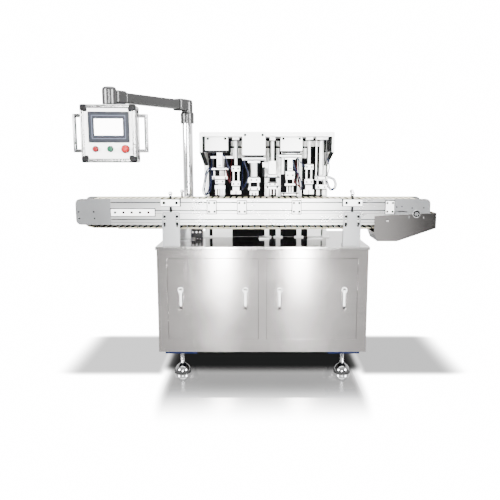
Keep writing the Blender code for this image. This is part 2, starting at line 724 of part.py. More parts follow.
# Conveyor
def chain_pins():
    """The hinge pins in order: along the top, round the drive end, back below, round the idler."""
    step = 360 / CHAIN_WRAP_LINKS
    top = CHAIN_AXIS_Z + PIN_RADIUS
    bottom = CHAIN_AXIS_Z - PIN_RADIUS
    half_wrap = CHAIN_WRAP_LINKS // 2
    pins = [(IDLER_AXIS_X + index * CHAIN_PITCH, top) for index in range(CHAIN_RUN_LINKS)]
    pins += [(DRIVE_AXIS_X + PIN_RADIUS * math.cos(math.radians(90 - index * step)),
              CHAIN_AXIS_Z + PIN_RADIUS * math.sin(math.radians(90 - index * step)))
             for index in range(half_wrap)]
    pins += [(DRIVE_AXIS_X - index * CHAIN_PITCH, bottom) for index in range(CHAIN_RUN_LINKS)]
    pins += [(IDLER_AXIS_X + PIN_RADIUS * math.cos(math.radians(270 - index * step)),
              CHAIN_AXIS_Z + PIN_RADIUS * math.sin(math.radians(270 - index * step)))
             for index in range(half_wrap)]
    return pins


def build_chain(conveyor):
    """Slats outside, hinge barrels inside, one section swept across the conveyor's width."""
    pins = [Vector(pin) for pin in chain_pins()]
    half = CHAIN_PITCH / 2
    slat_end = half - SLAT_GAP / 2
    gap_floor = SLAT_RISE - SLAT_THICKNESS
    underside = SLAT_RISE - SLAT_THICKNESS
    outer_profile = ((-slat_end, SLAT_RISE), (slat_end, SLAT_RISE), (half, gap_floor))
    inner_profile = ((-half + HINGE_HALF_WIDTH, -HINGE_DROP),
                     (-half + 1.5 * HINGE_HALF_WIDTH, underside),
                     (half - 1.5 * HINGE_HALF_WIDTH, underside),
                     (half - HINGE_HALF_WIDTH, -HINGE_DROP))
    outer = []
    inner = []
    for index, pin in enumerate(pins):
        following = pins[(index + 1) % len(pins)]
        middle = (pin + following) / 2
        along = (following - pin).normalized()
        outward = Vector((-along.y, along.x))
        outer += [tuple(middle + along * s + outward * n) for s, n in outer_profile]
        inner += [tuple(middle + along * s + outward * n) for s, n in inner_profile]
    start = CONVEYOR_MIDDLE - CHAIN_WIDTH / 2
    chain = plate(outer, (start, start + CHAIN_WIDTH), holes=(inner,))
    finish("slat_chain", chain, "acetal", conveyor)


def toothed_wheel(axis_x, middle_y):
    """A wheel with two teeth for each link; its tips run just inside the chain's hinge barrels."""
    teeth = 2 * CHAIN_WRAP_LINKS
    step = 360 / teeth
    tip = WHEEL_RADIUS
    root = tip - TOOTH_DEPTH
    outline = []
    for index in range(teeth):
        gap_middle = 90 + index * step
        for radius, share in ((root, -TOOTH_SPACE_SHARE / 2), (root, TOOTH_SPACE_SHARE / 2),
                              (tip, (1 - TOOTH_TIP_SHARE) / 2), (tip, (1 + TOOTH_TIP_SHARE) / 2)):
            angle = math.radians(gap_middle + share * step)
            outline.append((axis_x + radius * math.cos(angle), CHAIN_AXIS_Z + radius * math.sin(angle)))
    return plate(outline, (middle_y - WHEEL_THICKNESS / 2, middle_y + WHEEL_THICKNESS / 2))


def build_shafts(drive, idler):
    inner_front = CONVEYOR_FRONT + END_PLATE_THICKNESS
    inner_back = 2 * CONVEYOR_MIDDLE - inner_front
    ends = {
        "drive_shaft": (CONVEYOR_FRONT - BEARING_PROUD - SHAFT_STICKOUT,
                        2 * CONVEYOR_MIDDLE - CONVEYOR_FRONT + BEARING_PROUD + GEARBOX_DEPTH),
        "idler_shaft": (inner_front - END_PLATE_THICKNESS / 2 + FACE_GAP,
                        inner_back + END_PLATE_THICKNESS / 2 - FACE_GAP),
    }
    for name, axis_x, parent in (("drive_shaft", DRIVE_AXIS_X, drive),
                                 ("idler_shaft", IDLER_AXIS_X, idler)):
        front, back = ends[name]
        shaft = rod((axis_x, front, CHAIN_AXIS_Z), (axis_x, back, CHAIN_AXIS_Z), SHAFT_RADIUS, 24)
        fuse(shaft, toothed_wheel(axis_x, CONVEYOR_MIDDLE))
        item = finish(name, shaft, "machined", parent, (axis_x, CONVEYOR_MIDDLE, CHAIN_AXIS_Z))
        item.location -= parent.location


def rail_section():
    """The extruded rail seen from its end: three undercut grooves and two score lines in front."""
    front = CONVEYOR_FRONT
    section = [(front, RAIL_BOTTOM)]
    marks = sorted([(rise, "groove") for rise in GROOVE_RISES] + [(rise, "score") for rise in SCORE_RISES])
    for rise, kind in marks:
        z = RAIL_BOTTOM + rise
        if kind == "score":
            section += [(front, z - SCORE_WIDTH / 2), (front + SCORE_DEPTH, z),
                        (front, z + SCORE_WIDTH / 2)]
            continue
        mouth = GROOVE_MOUTH / 2
        chamber = GROOVE_CHAMBER / 2
        section += [(front, z - mouth), (front + GROOVE_LIP, z - mouth),
                    (front + GROOVE_LIP, z - chamber), (front + GROOVE_DEPTH, z - mouth),
                    (front + GROOVE_DEPTH, z + mouth), (front + GROOVE_LIP, z + chamber),
                    (front + GROOVE_LIP, z + mouth), (front, z + mouth)]
    back = front + RAIL_THICKNESS
    section += [(front, RAIL_TOP), (back, RAIL_TOP), (back, RAIL_BOTTOM)]
    return section


def rail_with_clamps(bracket_centres):
    """A front rail with the clamp blocks that its jack screws pass through."""
    rail = plate(rail_section(), (RAIL_LEFT, RAIL_RIGHT), plane="YZ")
    clamp_front = BRACKET_BACK - CLAMP_DEPTH
    for x in bracket_centres:
        bore = SCREW_RADIUS + SCREW_CLEARANCE
        outline = rounded(x - CLAMP_WIDTH / 2, x + CLAMP_WIDTH / 2, CLAMP_BOTTOM,
                          CLAMP_BOTTOM + CLAMP_HEIGHT, (CLAMP_CORNER,) * 4)
        clamp = plate(outline, (clamp_front, CONVEYOR_FRONT + GROOVE_LIP / 2))
        hole = rod((x, SCREW_AXIS_Y, CLAMP_BOTTOM - bore),
                   (x, SCREW_AXIS_Y, CLAMP_BOTTOM + CLAMP_HEIGHT + bore), bore, 12)
        fuse(rail, cut(clamp, hole))
    return rail


def build_rails(conveyor):
    front = rail_with_clamps(FRONT_BRACKETS)
    splice_right = SPLICE_LEFT + SPLICE_LENGTH
    splice = plate(rounded(SPLICE_LEFT, splice_right, SPLICE_BOTTOM, SPLICE_BOTTOM + SPLICE_HEIGHT,
                           (0, SPLICE_CORNER, SPLICE_CORNER, 0)),
                   (CONVEYOR_FRONT - SPLICE_THICKNESS, CONVEYOR_FRONT + GROOVE_LIP / 2))
    fuse(front, splice)
    for x in GUIDE_PLATE_CENTRES:
        half = GUIDE_PLATE_WIDTH / 2
        guide = box((x - half, x + half),
                    (CONVEYOR_FRONT - GUIDE_PLATE_THICKNESS, CONVEYOR_FRONT + GROOVE_LIP / 2),
                    (GUIDE_PLATE_BOTTOM, GUIDE_PLATE_BOTTOM + GUIDE_PLATE_HEIGHT))
        fuse(front, guide)
    finish("front_rail", front, "anodised", conveyor)
    rear = mirrored(rail_with_clamps(REAR_BRACKETS), CONVEYOR_MIDDLE)
    finish("rear_rail", rear, "anodised", conveyor)


def idler_plate():
    """The left end plate in front: four bolt holes and a blind seat for the idler shaft."""
    outline = rounded(IDLER_PLATE_LEFT, RAIL_LEFT - FACE_GAP, RAIL_BOTTOM, RAIL_TOP,
                      (END_PLATE_CORNER, 0, 0, END_PLATE_CORNER))
    body = plate(outline, (CONVEYOR_FRONT, CONVEYOR_FRONT + END_PLATE_THICKNESS))
    for across, up in IDLER_HOLES:
        x = IDLER_PLATE_LEFT + across
        z = RAIL_BOTTOM + up
        cut(body, rod((x, CONVEYOR_FRONT - END_HOLE_DEPTH, z), (x, CONVEYOR_FRONT + END_HOLE_DEPTH, z),
                      END_HOLE_RADIUS, 10))
    seat = rod((IDLER_AXIS_X, CONVEYOR_FRONT + END_PLATE_THICKNESS / 2, CHAIN_AXIS_Z),
               (IDLER_AXIS_X, CONVEYOR_FRONT + 2 * END_PLATE_THICKNESS, CHAIN_AXIS_Z),
               SHAFT_RADIUS + SHAFT_RUNNING_GAP, 24)
    return cut(body, seat)


def drive_plate():
    """The right end plate in front, with its round bearing housing and the tension slot."""
    outline = rounded(RAIL_RIGHT + FACE_GAP, DRIVE_PLATE_RIGHT, RAIL_BOTTOM, RAIL_TOP,
                      (0, 0, END_PLATE_CORNER, 0))
    slot = level_slot((RAIL_RIGHT + TENSION_SLOT_REACH, RAIL_BOTTOM + TENSION_SLOT_RISE),
                      TENSION_SLOT_LENGTH, SLOT_WIDTH)
    body = plate(outline, (CONVEYOR_FRONT, CONVEYOR_FRONT + END_PLATE_THICKNESS), holes=(slot,))
    housing = rod((DRIVE_AXIS_X, CONVEYOR_FRONT - BEARING_PROUD, CHAIN_AXIS_Z),
                  (DRIVE_AXIS_X, CONVEYOR_FRONT + END_PLATE_THICKNESS / 2, CHAIN_AXIS_Z),
                  BEARING_RADIUS, 24)
    bore = rod((DRIVE_AXIS_X, CONVEYOR_FRONT - 2 * BEARING_PROUD, CHAIN_AXIS_Z),
               (DRIVE_AXIS_X, CONVEYOR_FRONT + 2 * END_PLATE_THICKNESS, CHAIN_AXIS_Z),
               SHAFT_RADIUS + SHAFT_RUNNING_GAP, 24)
    return cut(fuse(body, housing), bore)


def build_end_plates(conveyor):
    for name, maker in (("idler_plate", idler_plate), ("drive_plate", drive_plate)):
        finish(f"{name}_front", maker(), "anodised", conveyor)
        finish(f"{name}_rear", mirrored(maker(), CONVEYOR_MIDDLE), "anodised", conveyor)


def build_tracks(conveyor):
    """The strips that the chain slides on: a ladder inside the loop, a hung pair below it."""
    left = IDLER_AXIS_X + TRACK_END_MARGIN
    right = DRIVE_AXIS_X - TRACK_END_MARGIN
    top = CHAIN_AXIS_Z + PIN_RADIUS - HINGE_DROP - FACE_GAP
    inner_front = CONVEYOR_FRONT + RAIL_THICKNESS + FACE_GAP
    inner_back = 2 * CONVEYOR_MIDDLE - inner_front
    ladder = None
    for side in (-1, 1):
        strip = block((left + right) / 2, right - left, CONVEYOR_MIDDLE + side * TRACK_OFFSET,
                      TRACK_WIDTH, (top - TRACK_DEPTH, top))
        ladder = strip if ladder is None else fuse(ladder, strip)
    first = RAIL_LEFT + TIE_WIDTH
    spacing = (RAIL_RIGHT - TIE_WIDTH - first) / (TRACK_TIES - 1)
    tie_top = top - TRACK_DEPTH + TIE_DEPTH / 2
    for index in range(TRACK_TIES):
        x = first + index * spacing
        tie = box((x - TIE_WIDTH / 2, x + TIE_WIDTH / 2), (inner_front, inner_back),
                  (tie_top - TIE_DEPTH, tie_top))
        fuse(ladder, tie)
    finish("carrying_track", ladder, "anodised", conveyor)

    strip_top = CHAIN_AXIS_Z - PIN_RADIUS - SLAT_RISE - FACE_GAP
    bottom = strip_top - RETURN_STRIP_DEPTH
    hung = None
    for x in FRONT_BRACKETS:
        cross = box((x - HANGER_WIDTH / 2, x + HANGER_WIDTH / 2),
                    (CONVEYOR_FRONT + HANGER_THICKNESS / 2,
                     2 * CONVEYOR_MIDDLE - CONVEYOR_FRONT - HANGER_THICKNESS / 2),
                    (bottom - HANGER_THICKNESS, RAIL_BOTTOM - FACE_GAP))
        clear = box((x - HANGER_WIDTH, x + HANGER_WIDTH),
                    (CONVEYOR_FRONT + 1.5 * HANGER_THICKNESS,
                     2 * CONVEYOR_MIDDLE - CONVEYOR_FRONT - 1.5 * HANGER_THICKNESS),
                    (bottom + FACE_GAP, RAIL_TOP))
        cut(cross, clear)
        hung = cross if hung is None else fuse(hung, cross)
    for side in (-1, 1):
        middle = CONVEYOR_MIDDLE + side * TRACK_OFFSET
        strip = box((RETURN_TRACK_LEFT, RETURN_TRACK_RIGHT),
                    (middle - TRACK_WIDTH / 2, middle + TRACK_WIDTH / 2), (bottom, strip_top))
        fuse(hung, strip)
    finish("return_track", hung, "acetal", conveyor)


def support_bracket(x):
    """A front bracket: slotted plate on a foot, with the jack screw and ball knob on its top."""
    half = BRACKET_WIDTH / 2
    outline = rounded(x - half, x + half, TABLE_FACE, BRACKET_TOP,
                      (0, 0, BRACKET_CORNER, BRACKET_CORNER))
    holes = [upright_slot(x + side * SLOT_OFFSET, BRACKET_SLOT_BOTTOM, BRACKET_SLOT_TOP,
                          BRACKET_SLOT_WIDTH) for side in (-1, 1)]
    body = plate(outline, (BRACKET_BACK - BRACKET_THICKNESS, BRACKET_BACK), holes=holes)
    foot = box((x - half, x + half), (BRACKET_BACK - BRACKET_THICKNESS / 2,
                                      BRACKET_BACK + BRACKET_FOOT_DEPTH),
               (TABLE_FACE, TABLE_FACE + BRACKET_FOOT_THICKNESS))
    profile = [(0.0, KNOB_HEIGHT + KNOB_RADIUS)]
    for step in range(1, 4):
        angle = math.pi / 5 * step
        profile.append((KNOB_RADIUS * math.sin(angle), KNOB_HEIGHT + KNOB_RADIUS * math.cos(angle)))
    neck = KNOB_HEIGHT - math.sqrt(KNOB_RADIUS ** 2 - SCREW_RADIUS ** 2)
    screw_end = BRACKET_TOP - BRACKET_CORNER
    profile += [(SCREW_RADIUS, neck), (SCREW_RADIUS, screw_end), (0.0, screw_end)]
    screw = turned(profile, x, SCREW_AXIS_Y, sides=12)
    return fuse(body, foot, screw)


def build_brackets(machine):
    for side, x in zip(("left", "right"), FRONT_BRACKETS):
        finish(f"support_bracket_front_{side}", support_bracket(x), "machined", machine,
               (x, SCREW_AXIS_Y, TABLE_FACE))
    for side, x in zip(("left", "right"), REAR_BRACKETS):
        rear = mirrored(support_bracket(x), CONVEYOR_MIDDLE)
        finish(f"support_bracket_rear_{side}", rear, "machined", machine,
               (x, 2 * CONVEYOR_MIDDLE - SCREW_AXIS_Y, TABLE_FACE))


def build_drive_cover(conveyor):
    """A folded sheet trough, open at the top and at its left end."""
    folds = [(COVER_LEFT, COVER_LIP_BOTTOM), (COVER_FLOOR_LEFT, COVER_FLOOR),
             (COVER_FLOOR_RIGHT, COVER_FLOOR), (COVER_RIGHT, COVER_NOSE_BOTTOM),
             (COVER_RIGHT, COVER_TOP_RIGHT)]
    front = CONVEYOR_FRONT - FACE_GAP - COVER_SHEET
    back = 2 * CONVEYOR_MIDDLE - front
    trough = plate([*folds, (COVER_LEFT, COVER_TOP_LEFT)], (front, back))
    inside = offset_path(folds, COVER_SHEET)
    beyond = COVER_LEFT - COVER_SHEET
    above = COVER_TOP_RIGHT + COVER_SHEET
    inside = [(beyond, inside[0][1]), *inside, (inside[-1][0], above), (beyond, above)]
    cut(trough, plate(inside, (front + COVER_SHEET, back - COVER_SHEET)))
    through = (front - COVER_SHEET, back + COVER_SHEET)
    notch = rod((DRIVE_AXIS_X, through[0], CHAIN_AXIS_Z), (DRIVE_AXIS_X, through[1], CHAIN_AXIS_Z),
                BEARING_RADIUS + SCREW_CLEARANCE, 24)
    hole_x = COVER_LEFT + COVER_HOLE_REACH
    hole_z = COVER_FLOOR + COVER_HOLE_RISE
    hole = rod((hole_x, through[0], hole_z), (hole_x, CONVEYOR_MIDDLE, hole_z), COVER_HOLE_RADIUS, 12)
    cut(trough, notch, hole)
    for x in COVER_SLOTS:
        half = COVER_SLOT_LENGTH / 2
        slot = plate(upright_slot(x, COVER_SLOT_HEIGHT - half, COVER_SLOT_HEIGHT + half, SLOT_WIDTH),
                     (through[0], front + 2 * COVER_SHEET))
        cut(trough, slot)
    finish("drive_cover", trough, "brushed_steel", conveyor)


def build_gear_motor(conveyor):
    """A hollow-shaft gear motor behind the drive end, its motor lying along the rear rail."""
    front = 2 * CONVEYOR_MIDDLE - CONVEYOR_FRONT + BEARING_PROUD + FACE_GAP
    back = front + GEARBOX_DEPTH
    middle_y = (front + back) / 2
    case = plate(rounded(DRIVE_AXIS_X - GEARBOX_WIDTH / 2, DRIVE_AXIS_X + GEARBOX_WIDTH / 2,
                         CHAIN_AXIS_Z - GEARBOX_HEIGHT / 2, CHAIN_AXIS_Z + GEARBOX_HEIGHT / 2,
                         (GEARBOX_CORNER,) * 4, 3), (front, back))
    start = DRIVE_AXIS_X - GEARBOX_WIDTH / 4
    end = DRIVE_AXIS_X - GEARBOX_WIDTH / 2 - MOTOR_LENGTH
    motor_z = CHAIN_AXIS_Z - (GEARBOX_HEIGHT / 2 - MOTOR_RADIUS)
    motor = rod((start, middle_y, motor_z), (end, middle_y, motor_z), MOTOR_BODY_RADIUS, 20)
    fan = rod((end + MOTOR_FAN_LENGTH / 2, middle_y, motor_z),
              (end - MOTOR_FAN_LENGTH, middle_y, motor_z), MOTOR_FAN_RADIUS, 20)
    fins = rod((start - GEARBOX_WIDTH / 2, middle_y, motor_z),
               (end + MOTOR_FAN_LENGTH, middle_y, motor_z), MOTOR_RADIUS, 20)
    terminal = block((start + end) / 2, MOTOR_BOX_WIDTH, back, MOTOR_BOX_SIZE,
                     (motor_z - MOTOR_BOX_SIZE / 2, motor_z + MOTOR_BOX_SIZE / 2))
    bore = rod((DRIVE_AXIS_X, front - BEARING_PROUD, CHAIN_AXIS_Z),
               (DRIVE_AXIS_X, back + BEARING_PROUD, CHAIN_AXIS_Z),
               SHAFT_RADIUS + SHAFT_RUNNING_GAP, 24)
    fuse(case, motor, fan, fins, terminal)
    finish("gear_motor", cut(case, bore), "motor_grey", conveyor)


# Gantry
def side_bracket():
    """The angle bracket beside the right post: a long foot and an upright plate."""
    span = (SIDE_BRACKET_LEFT, SIDE_BRACKET_LEFT + SIDE_BRACKET_WIDTH)
    back = POST_FRONT + POST_DEPTH / 2
    foot = box(span, (LONG_FOOT_FRONT, back), (TABLE_FACE, TABLE_FACE + POST_FOOT_THICKNESS))
    upright = box(span, (back - SIDE_BRACKET_SHEET, back), (TABLE_FACE, TABLE_FACE + SIDE_BRACKET_HEIGHT))
    return fuse(foot, upright)


def build_gantry(machine):
    back = POST_FRONT + POST_DEPTH
    foot_span = (TABLE_FACE, TABLE_FACE + POST_FOOT_THICKNESS)
    outline = [(POST_FRONT, TABLE_FACE), (back, TABLE_FACE), (back, STATION_TOP),
               (GANTRY_FRONT, STATION_TOP), (GANTRY_FRONT, ARM_BOTTOM_FRONT),
               (POST_FRONT, ARM_BOTTOM_BACK)]
    for side, left in (("left", GANTRY_LEFT), ("right", GANTRY_RIGHT - GANTRY_MEMBER)):
        frame = plate(outline, (left, left + GANTRY_MEMBER), plane="YZ")
        foot = block(left + GANTRY_MEMBER / 2, POST_FOOT_WIDTH, (POST_FRONT + back) / 2,
                     POST_DEPTH - 2 * FACE_GAP, foot_span)
        fuse(frame, foot)
        if side == "right":
            fuse(frame, side_bracket())
        finish(f"gantry_frame_{side}", frame, "anodised", machine,
               (left + GANTRY_MEMBER / 2, back, TABLE_FACE))
    panel_front = back + FACE_GAP
    panel_back = panel_front + BACK_PANEL_THICKNESS
    roof = box((GANTRY_LEFT, GANTRY_RIGHT), (GANTRY_FRONT, panel_back),
               (ROOF_BOTTOM, ROOF_BOTTOM + ROOF_THICKNESS))
    finish("roof_plate", roof, "anodised", machine)
    panel = box((GANTRY_LEFT, GANTRY_RIGHT), (panel_front, panel_back), (TABLE_FACE, STATION_TOP))
    finish("back_panel", panel, "black_steel", machine)

    inner_left = GANTRY_LEFT + GANTRY_MEMBER + FACE_GAP
    inner_right = GANTRY_RIGHT - GANTRY_MEMBER - FACE_GAP
    depth = (BEAM_FRONT, BEAM_FRONT + BEAM_DEPTH)
    upper = box((inner_left, inner_right), depth,
                (UPPER_BEAM_BOTTOM, UPPER_BEAM_BOTTOM + UPPER_BEAM_HEIGHT))
    lower = box((inner_left, LOWER_BEAM_RIGHT), depth,
                (LOWER_BEAM_BOTTOM, LOWER_BEAM_BOTTOM + LOWER_BEAM_HEIGHT))
    middle_y = BEAM_FRONT + BEAM_DEPTH / 2
    columns = [block(x, COLUMN_WIDTH, middle_y, COLUMN_DEPTH, (TABLE_FACE, UPPER_BEAM_BOTTOM + OVERLAP))
               for x in COLUMN_CENTRES]
    feet = [block(x, COLUMN_FOOT_WIDTH, middle_y, BEAM_DEPTH, foot_span) for x in COLUMN_CENTRES[1:]]
    wide_plate = block(COLUMN_CENTRES[0], WIDE_PLATE_WIDTH, middle_y, BEAM_DEPTH,
                       (TABLE_FACE, TABLE_FACE + WIDE_PLATE_HEIGHT))
    long_foot = box((LONG_FOOT_LEFT, COLUMN_CENTRES[1] + COLUMN_WIDTH / 2), (LONG_FOOT_FRONT, middle_y),
                    foot_span)
    finish("rear_support", fuse(upper, *columns, lower, *feet, wide_plate, long_foot), "machined",
           machine)


@dataclass(frozen=True)
class Station:
    """Sizes of one capping station.

    A layer is (form, width, height). A head's plates are stacked up from a lift above its tips, its
    tools are (form, offset, width, depth, lift, height), and a fixed unit's flanges hang down from
    its cap or hood. A neck reaches from there to the guide block, or to the sleeve that stands on it.
    Posts are (offset, width, drop), and one without a drop reaches down to the guide block.
    """

    x: float
    travel: float
    rods: tuple
    guide: tuple
    lift: float
    plates: tuple
    tools: tuple
    neck: tuple
    cap: tuple = ()
    hood: tuple = ()
    flanges: tuple = ()
    sleeve: tuple = ()
    posts: tuple = ()
    rod_plate: int = -1


def twin(form, offset, *sizes):
    """A tool on each side of the station's axis."""
    return (form, -offset, *sizes), (form, offset, *sizes)


PRESS = Station(
    x=-0.266, travel=0.035, rods=(0.036, 0.005), guide=(0.100, 0.012), lift=0.0395,
    plates=(("block", 0.062, 0.019), ("slim", 0.020, 0.0124), ("block", 0.056, 0.0278),
            ("block", 0.093, 0.0165)),
    tools=(*twin("block", 0.025, 0.008, 0.012, 0.0, 0.0395),
           *twin("block", 0.009, 0.008, 0.012, 0.0, 0.0395)),
    neck=("block", 0.034), hood=(-0.088, 0.053, 0.0842))
FIRST_GRIPPER = Station(
    x=-0.166, travel=0.059, rods=(0.015, 0.005), guide=(0.050, 0.034), lift=0.0235,
    plates=(("slim", 0.040, 0.032), ("block", 0.050, 0.029)),
    tools=twin("block", 0.017, 0.028, 0.030, 0.0061, 0.0174),
    neck=("rod", 0.018), cap=(0.042, 0.042, 0.0204))
TALL_PRESS = Station(
    x=-0.053, travel=0.028, rods=(0.026, 0.005), guide=(0.075, 0.0308), lift=0.0135,
    plates=(("slim", 0.030, 0.0173), ("block", 0.070, 0.0165)),
    tools=(*twin("block", 0.020, 0.012, 0.012, 0.0, 0.0308), ("rod", 0.0, 0.016, 0.016, 0.0, 0.0135)),
    flanges=(("block", 0.060, 0.0131), ("block", 0.146, 0.0185), ("block", 0.075, 0.0154)),
    neck=("rod", 0.038))
TURNER = Station(
    x=0.062, travel=0.026, rods=(0.038, 0.004), guide=(0.093, 0.0161), lift=0.0395,
    plates=(("block", 0.087, 0.017), ("block", 0.058, 0.022)), rod_plate=0,
    tools=(*twin("block", 0.030, 0.007, 0.018, 0.0, 0.0395),
           *twin("block", 0.010, 0.007, 0.018, 0.0, 0.0395)),
    neck=("rod", 0.020), cap=(0.034, 0.040, 0.0235), sleeve=("block", 0.043, 0.0844))
STAMPER = Station(
    x=0.173, travel=0.026, rods=(0.020, 0.004), guide=(0.056, 0.0493), lift=0.0,
    plates=(("block", 0.104, 0.0125), ("rod", 0.009, 0.046), ("block", 0.062, 0.010)),
    tools=twin("block", 0.016, 0.008, 0.012, 0.0105, 0.048),
    flanges=(("block", 0.060, 0.0227), ("block", 0.140, 0.0154), ("block", 0.068, 0.0124)),
    neck=("block", 0.030), hood=(-0.062, 0.073, 0.0872), posts=((-0.046, 0.018, 0.104),))
SECOND_GRIPPER = Station(
    x=0.291, travel=0.059, rods=(0.015, 0.005), guide=(0.050, 0.0309), lift=0.0305,
    plates=(("slim", 0.040, 0.0374), ("block", 0.050, 0.029)),
    tools=twin("block", 0.017, 0.028, 0.030, 0.0061, 0.0244),
    neck=("rod", 0.018), cap=(0.042, 0.042, 0.0204))
ROLLER_CLOSER = Station(
    x=0.3685, travel=0.027, rods=(0.022, 0.004), guide=(0.074, 0.0247), lift=0.0365,
    plates=(("block", 0.068, 0.025),),
    tools=twin("rod", 0.018, 0.022, 0.022, 0.0, 0.0365),
    neck=("rod", 0.028), cap=(0.074, BLOCK_DEPTH, 0.0204),
    posts=((-0.0325, 0.009, 0.0), (0.0325, 0.009, 0.0)))
STATIONS = (PRESS, FIRST_GRIPPER, TALL_PRESS, TURNER, STAMPER, SECOND_GRIPPER, ROLLER_CLOSER)


def layer(x, form, width, span, depth=BLOCK_DEPTH):
    """One layer on the conveyor's middle line: a block, a slimmer block or a round bar."""
    if form == "rod":
        return rod((x, CONVEYOR_MIDDLE, span[0]), (x, CONVEYOR_MIDDLE, span[1]), width / 2)
    return block(x, width, CONVEYOR_MIDDLE, HEAD_DEPTH / 2 if form == "slim" else depth, span)


def guide_rods(station, span, gap=0.0):
    """The head's two guide rods, or the bores that they run in."""
    offset, radius = station.rods
    return [rod((station.x + side * offset, CONVEYOR_MIDDLE, span[0]),
                (station.x + side * offset, CONVEYOR_MIDDLE, span[1]), radius + gap, 8)
            for side in (-1, 1)]


def build_head(station):
    """The moving part, stacked up from its tips, and the height of its top."""
    height = HEAD_LOWEST + station.lift
    plates = []
    tops = []
    for form, width, thickness in station.plates:
        plates.append(layer(station.x, form, width, (height, height + thickness + OVERLAP)))
        height += thickness
        tops.append(height)
    tools = [layer(station.x + offset, form, width,
                   (HEAD_LOWEST + lift, HEAD_LOWEST + lift + tall + OVERLAP), depth)
             for form, offset, width, depth, lift, tall in station.tools]
    top = height + OVERLAP
    guide_low = top + station.travel + HEAD_STOP_GAP
    rod_top = guide_low + station.guide[1] + GUIDE_ROD_STICKOUT
    return fuse(*plates, *tools, *guide_rods(station, (tops[station.rod_plate], rod_top))), guide_low


def tall_hood(x):
    """The cover that stands up in front of the roof, and the height of its underside."""
    low = STATION_TOP - TALL_HOOD_DROP
    span = (x - TALL_HOOD_HALF_WIDTH, x + TALL_HOOD_HALF_WIDTH)
    front = box(span, (TALL_HOOD_FRONT, GANTRY_FRONT - FACE_GAP), (low, ROOF_BOTTOM + ROOF_THICKNESS))
    return [front, box(span, (TALL_HOOD_FRONT + TALL_HOOD_SKIN, TALL_HOOD_BACK), (low, STATION_TOP))], low


def upper_body(station):
    """The cap or cover under the roof, and the height of its underside."""
    if station.hood:
        left, right, drop = station.hood
        low = STATION_TOP - drop
        return [box((station.x + left, station.x + right), (HOOD_FRONT, HOOD_FRONT + HOOD_DEPTH),
                    (low, STATION_TOP))], low
    if station.cap:
        width, depth, drop = station.cap
        low = STATION_TOP - drop
        return [block(station.x, width, CONVEYOR_MIDDLE, depth, (low, STATION_TOP))], low
    return tall_hood(station.x)


def build_fixed_unit(station, guide_low):
    """The fixed part, hung down from the roof to the bored guide block."""
    width, height = station.guide
    guide_top = guide_low + height
    guide = block(station.x, width, CONVEYOR_MIDDLE, BLOCK_DEPTH, (guide_low, guide_top))
    bores = guide_rods(station, (guide_low - GUIDE_BORE_MARGIN, guide_top + GUIDE_BORE_MARGIN),
                       GUIDE_ROD_GAP)
    pieces, low = upper_body(station)
    ledge = low
    for form, wide, thickness in station.flanges:
        pieces.append(layer(station.x, form, wide, (low - thickness, low + OVERLAP)))
        ledge = low
        low -= thickness
    neck_end = guide_top
    if station.sleeve:
        form, wide, tall = station.sleeve
        neck_end = guide_top + tall
        pieces.append(layer(station.x, form, wide, (guide_top - OVERLAP, neck_end + OVERLAP)))
    form, wide = station.neck
    pieces.append(layer(station.x, form, wide, (neck_end - OVERLAP, low + OVERLAP)))
    for offset, wide, drop in station.posts:
        end = ledge - drop if drop else guide_top - OVERLAP
        pieces.append(rod((station.x + offset, CONVEYOR_MIDDLE, end),
                          (station.x + offset, CONVEYOR_MIDDLE, ledge + OVERLAP), wide / 2, 12))
    return fuse(*pieces, cut(guide, *bores))


def build_stations(machine):
    for number, station in enumerate(STATIONS, start=1):
        moving, guide_low = build_head(station)
        fixed = build_fixed_unit(station, guide_low)
        finish(f"station_{number}_body", fixed, "machined", machine,
               (station.x, CONVEYOR_MIDDLE, STATION_TOP))
        finish(f"station_{number}_head", moving, "machined", machine,
               (station.x, CONVEYOR_MIDDLE, HEAD_LOWEST))


# Operator pole, swivel arm and control box
def build_pole(machine):
    profile = [(0.0, POLE_TOP + POLE_SPIGOT_HEIGHT),
               (POLE_SPIGOT_RADIUS, POLE_TOP + POLE_SPIGOT_HEIGHT),
               (POLE_SPIGOT_RADIUS, POLE_TOP), (POLE_RADIUS, POLE_TOP),
               (POLE_RADIUS, TABLE_FACE + POLE_FLANGE_THICKNESS),
               (POLE_FLANGE_RADIUS, TABLE_FACE + POLE_FLANGE_THICKNESS),
               (POLE_FLANGE_RADIUS, TABLE_FACE), (0.0, TABLE_FACE)]
    pole = turned(profile, POLE_X, POLE_Y)
    valves = box((POLE_X + POLE_RADIUS * 0.5, POLE_X + POLE_RADIUS * 0.5 + VALVE_BLOCK_LENGTH),
                 (POLE_Y - VALVE_BLOCK_DEPTH / 2, POLE_Y + VALVE_BLOCK_DEPTH / 2),
                 (TABLE_FACE, TABLE_FACE + VALVE_BLOCK_HEIGHT))
    finish("operator_pole", fuse(pole, valves), "polished_steel", machine,
           (POLE_X, POLE_Y, POLE_TOP))


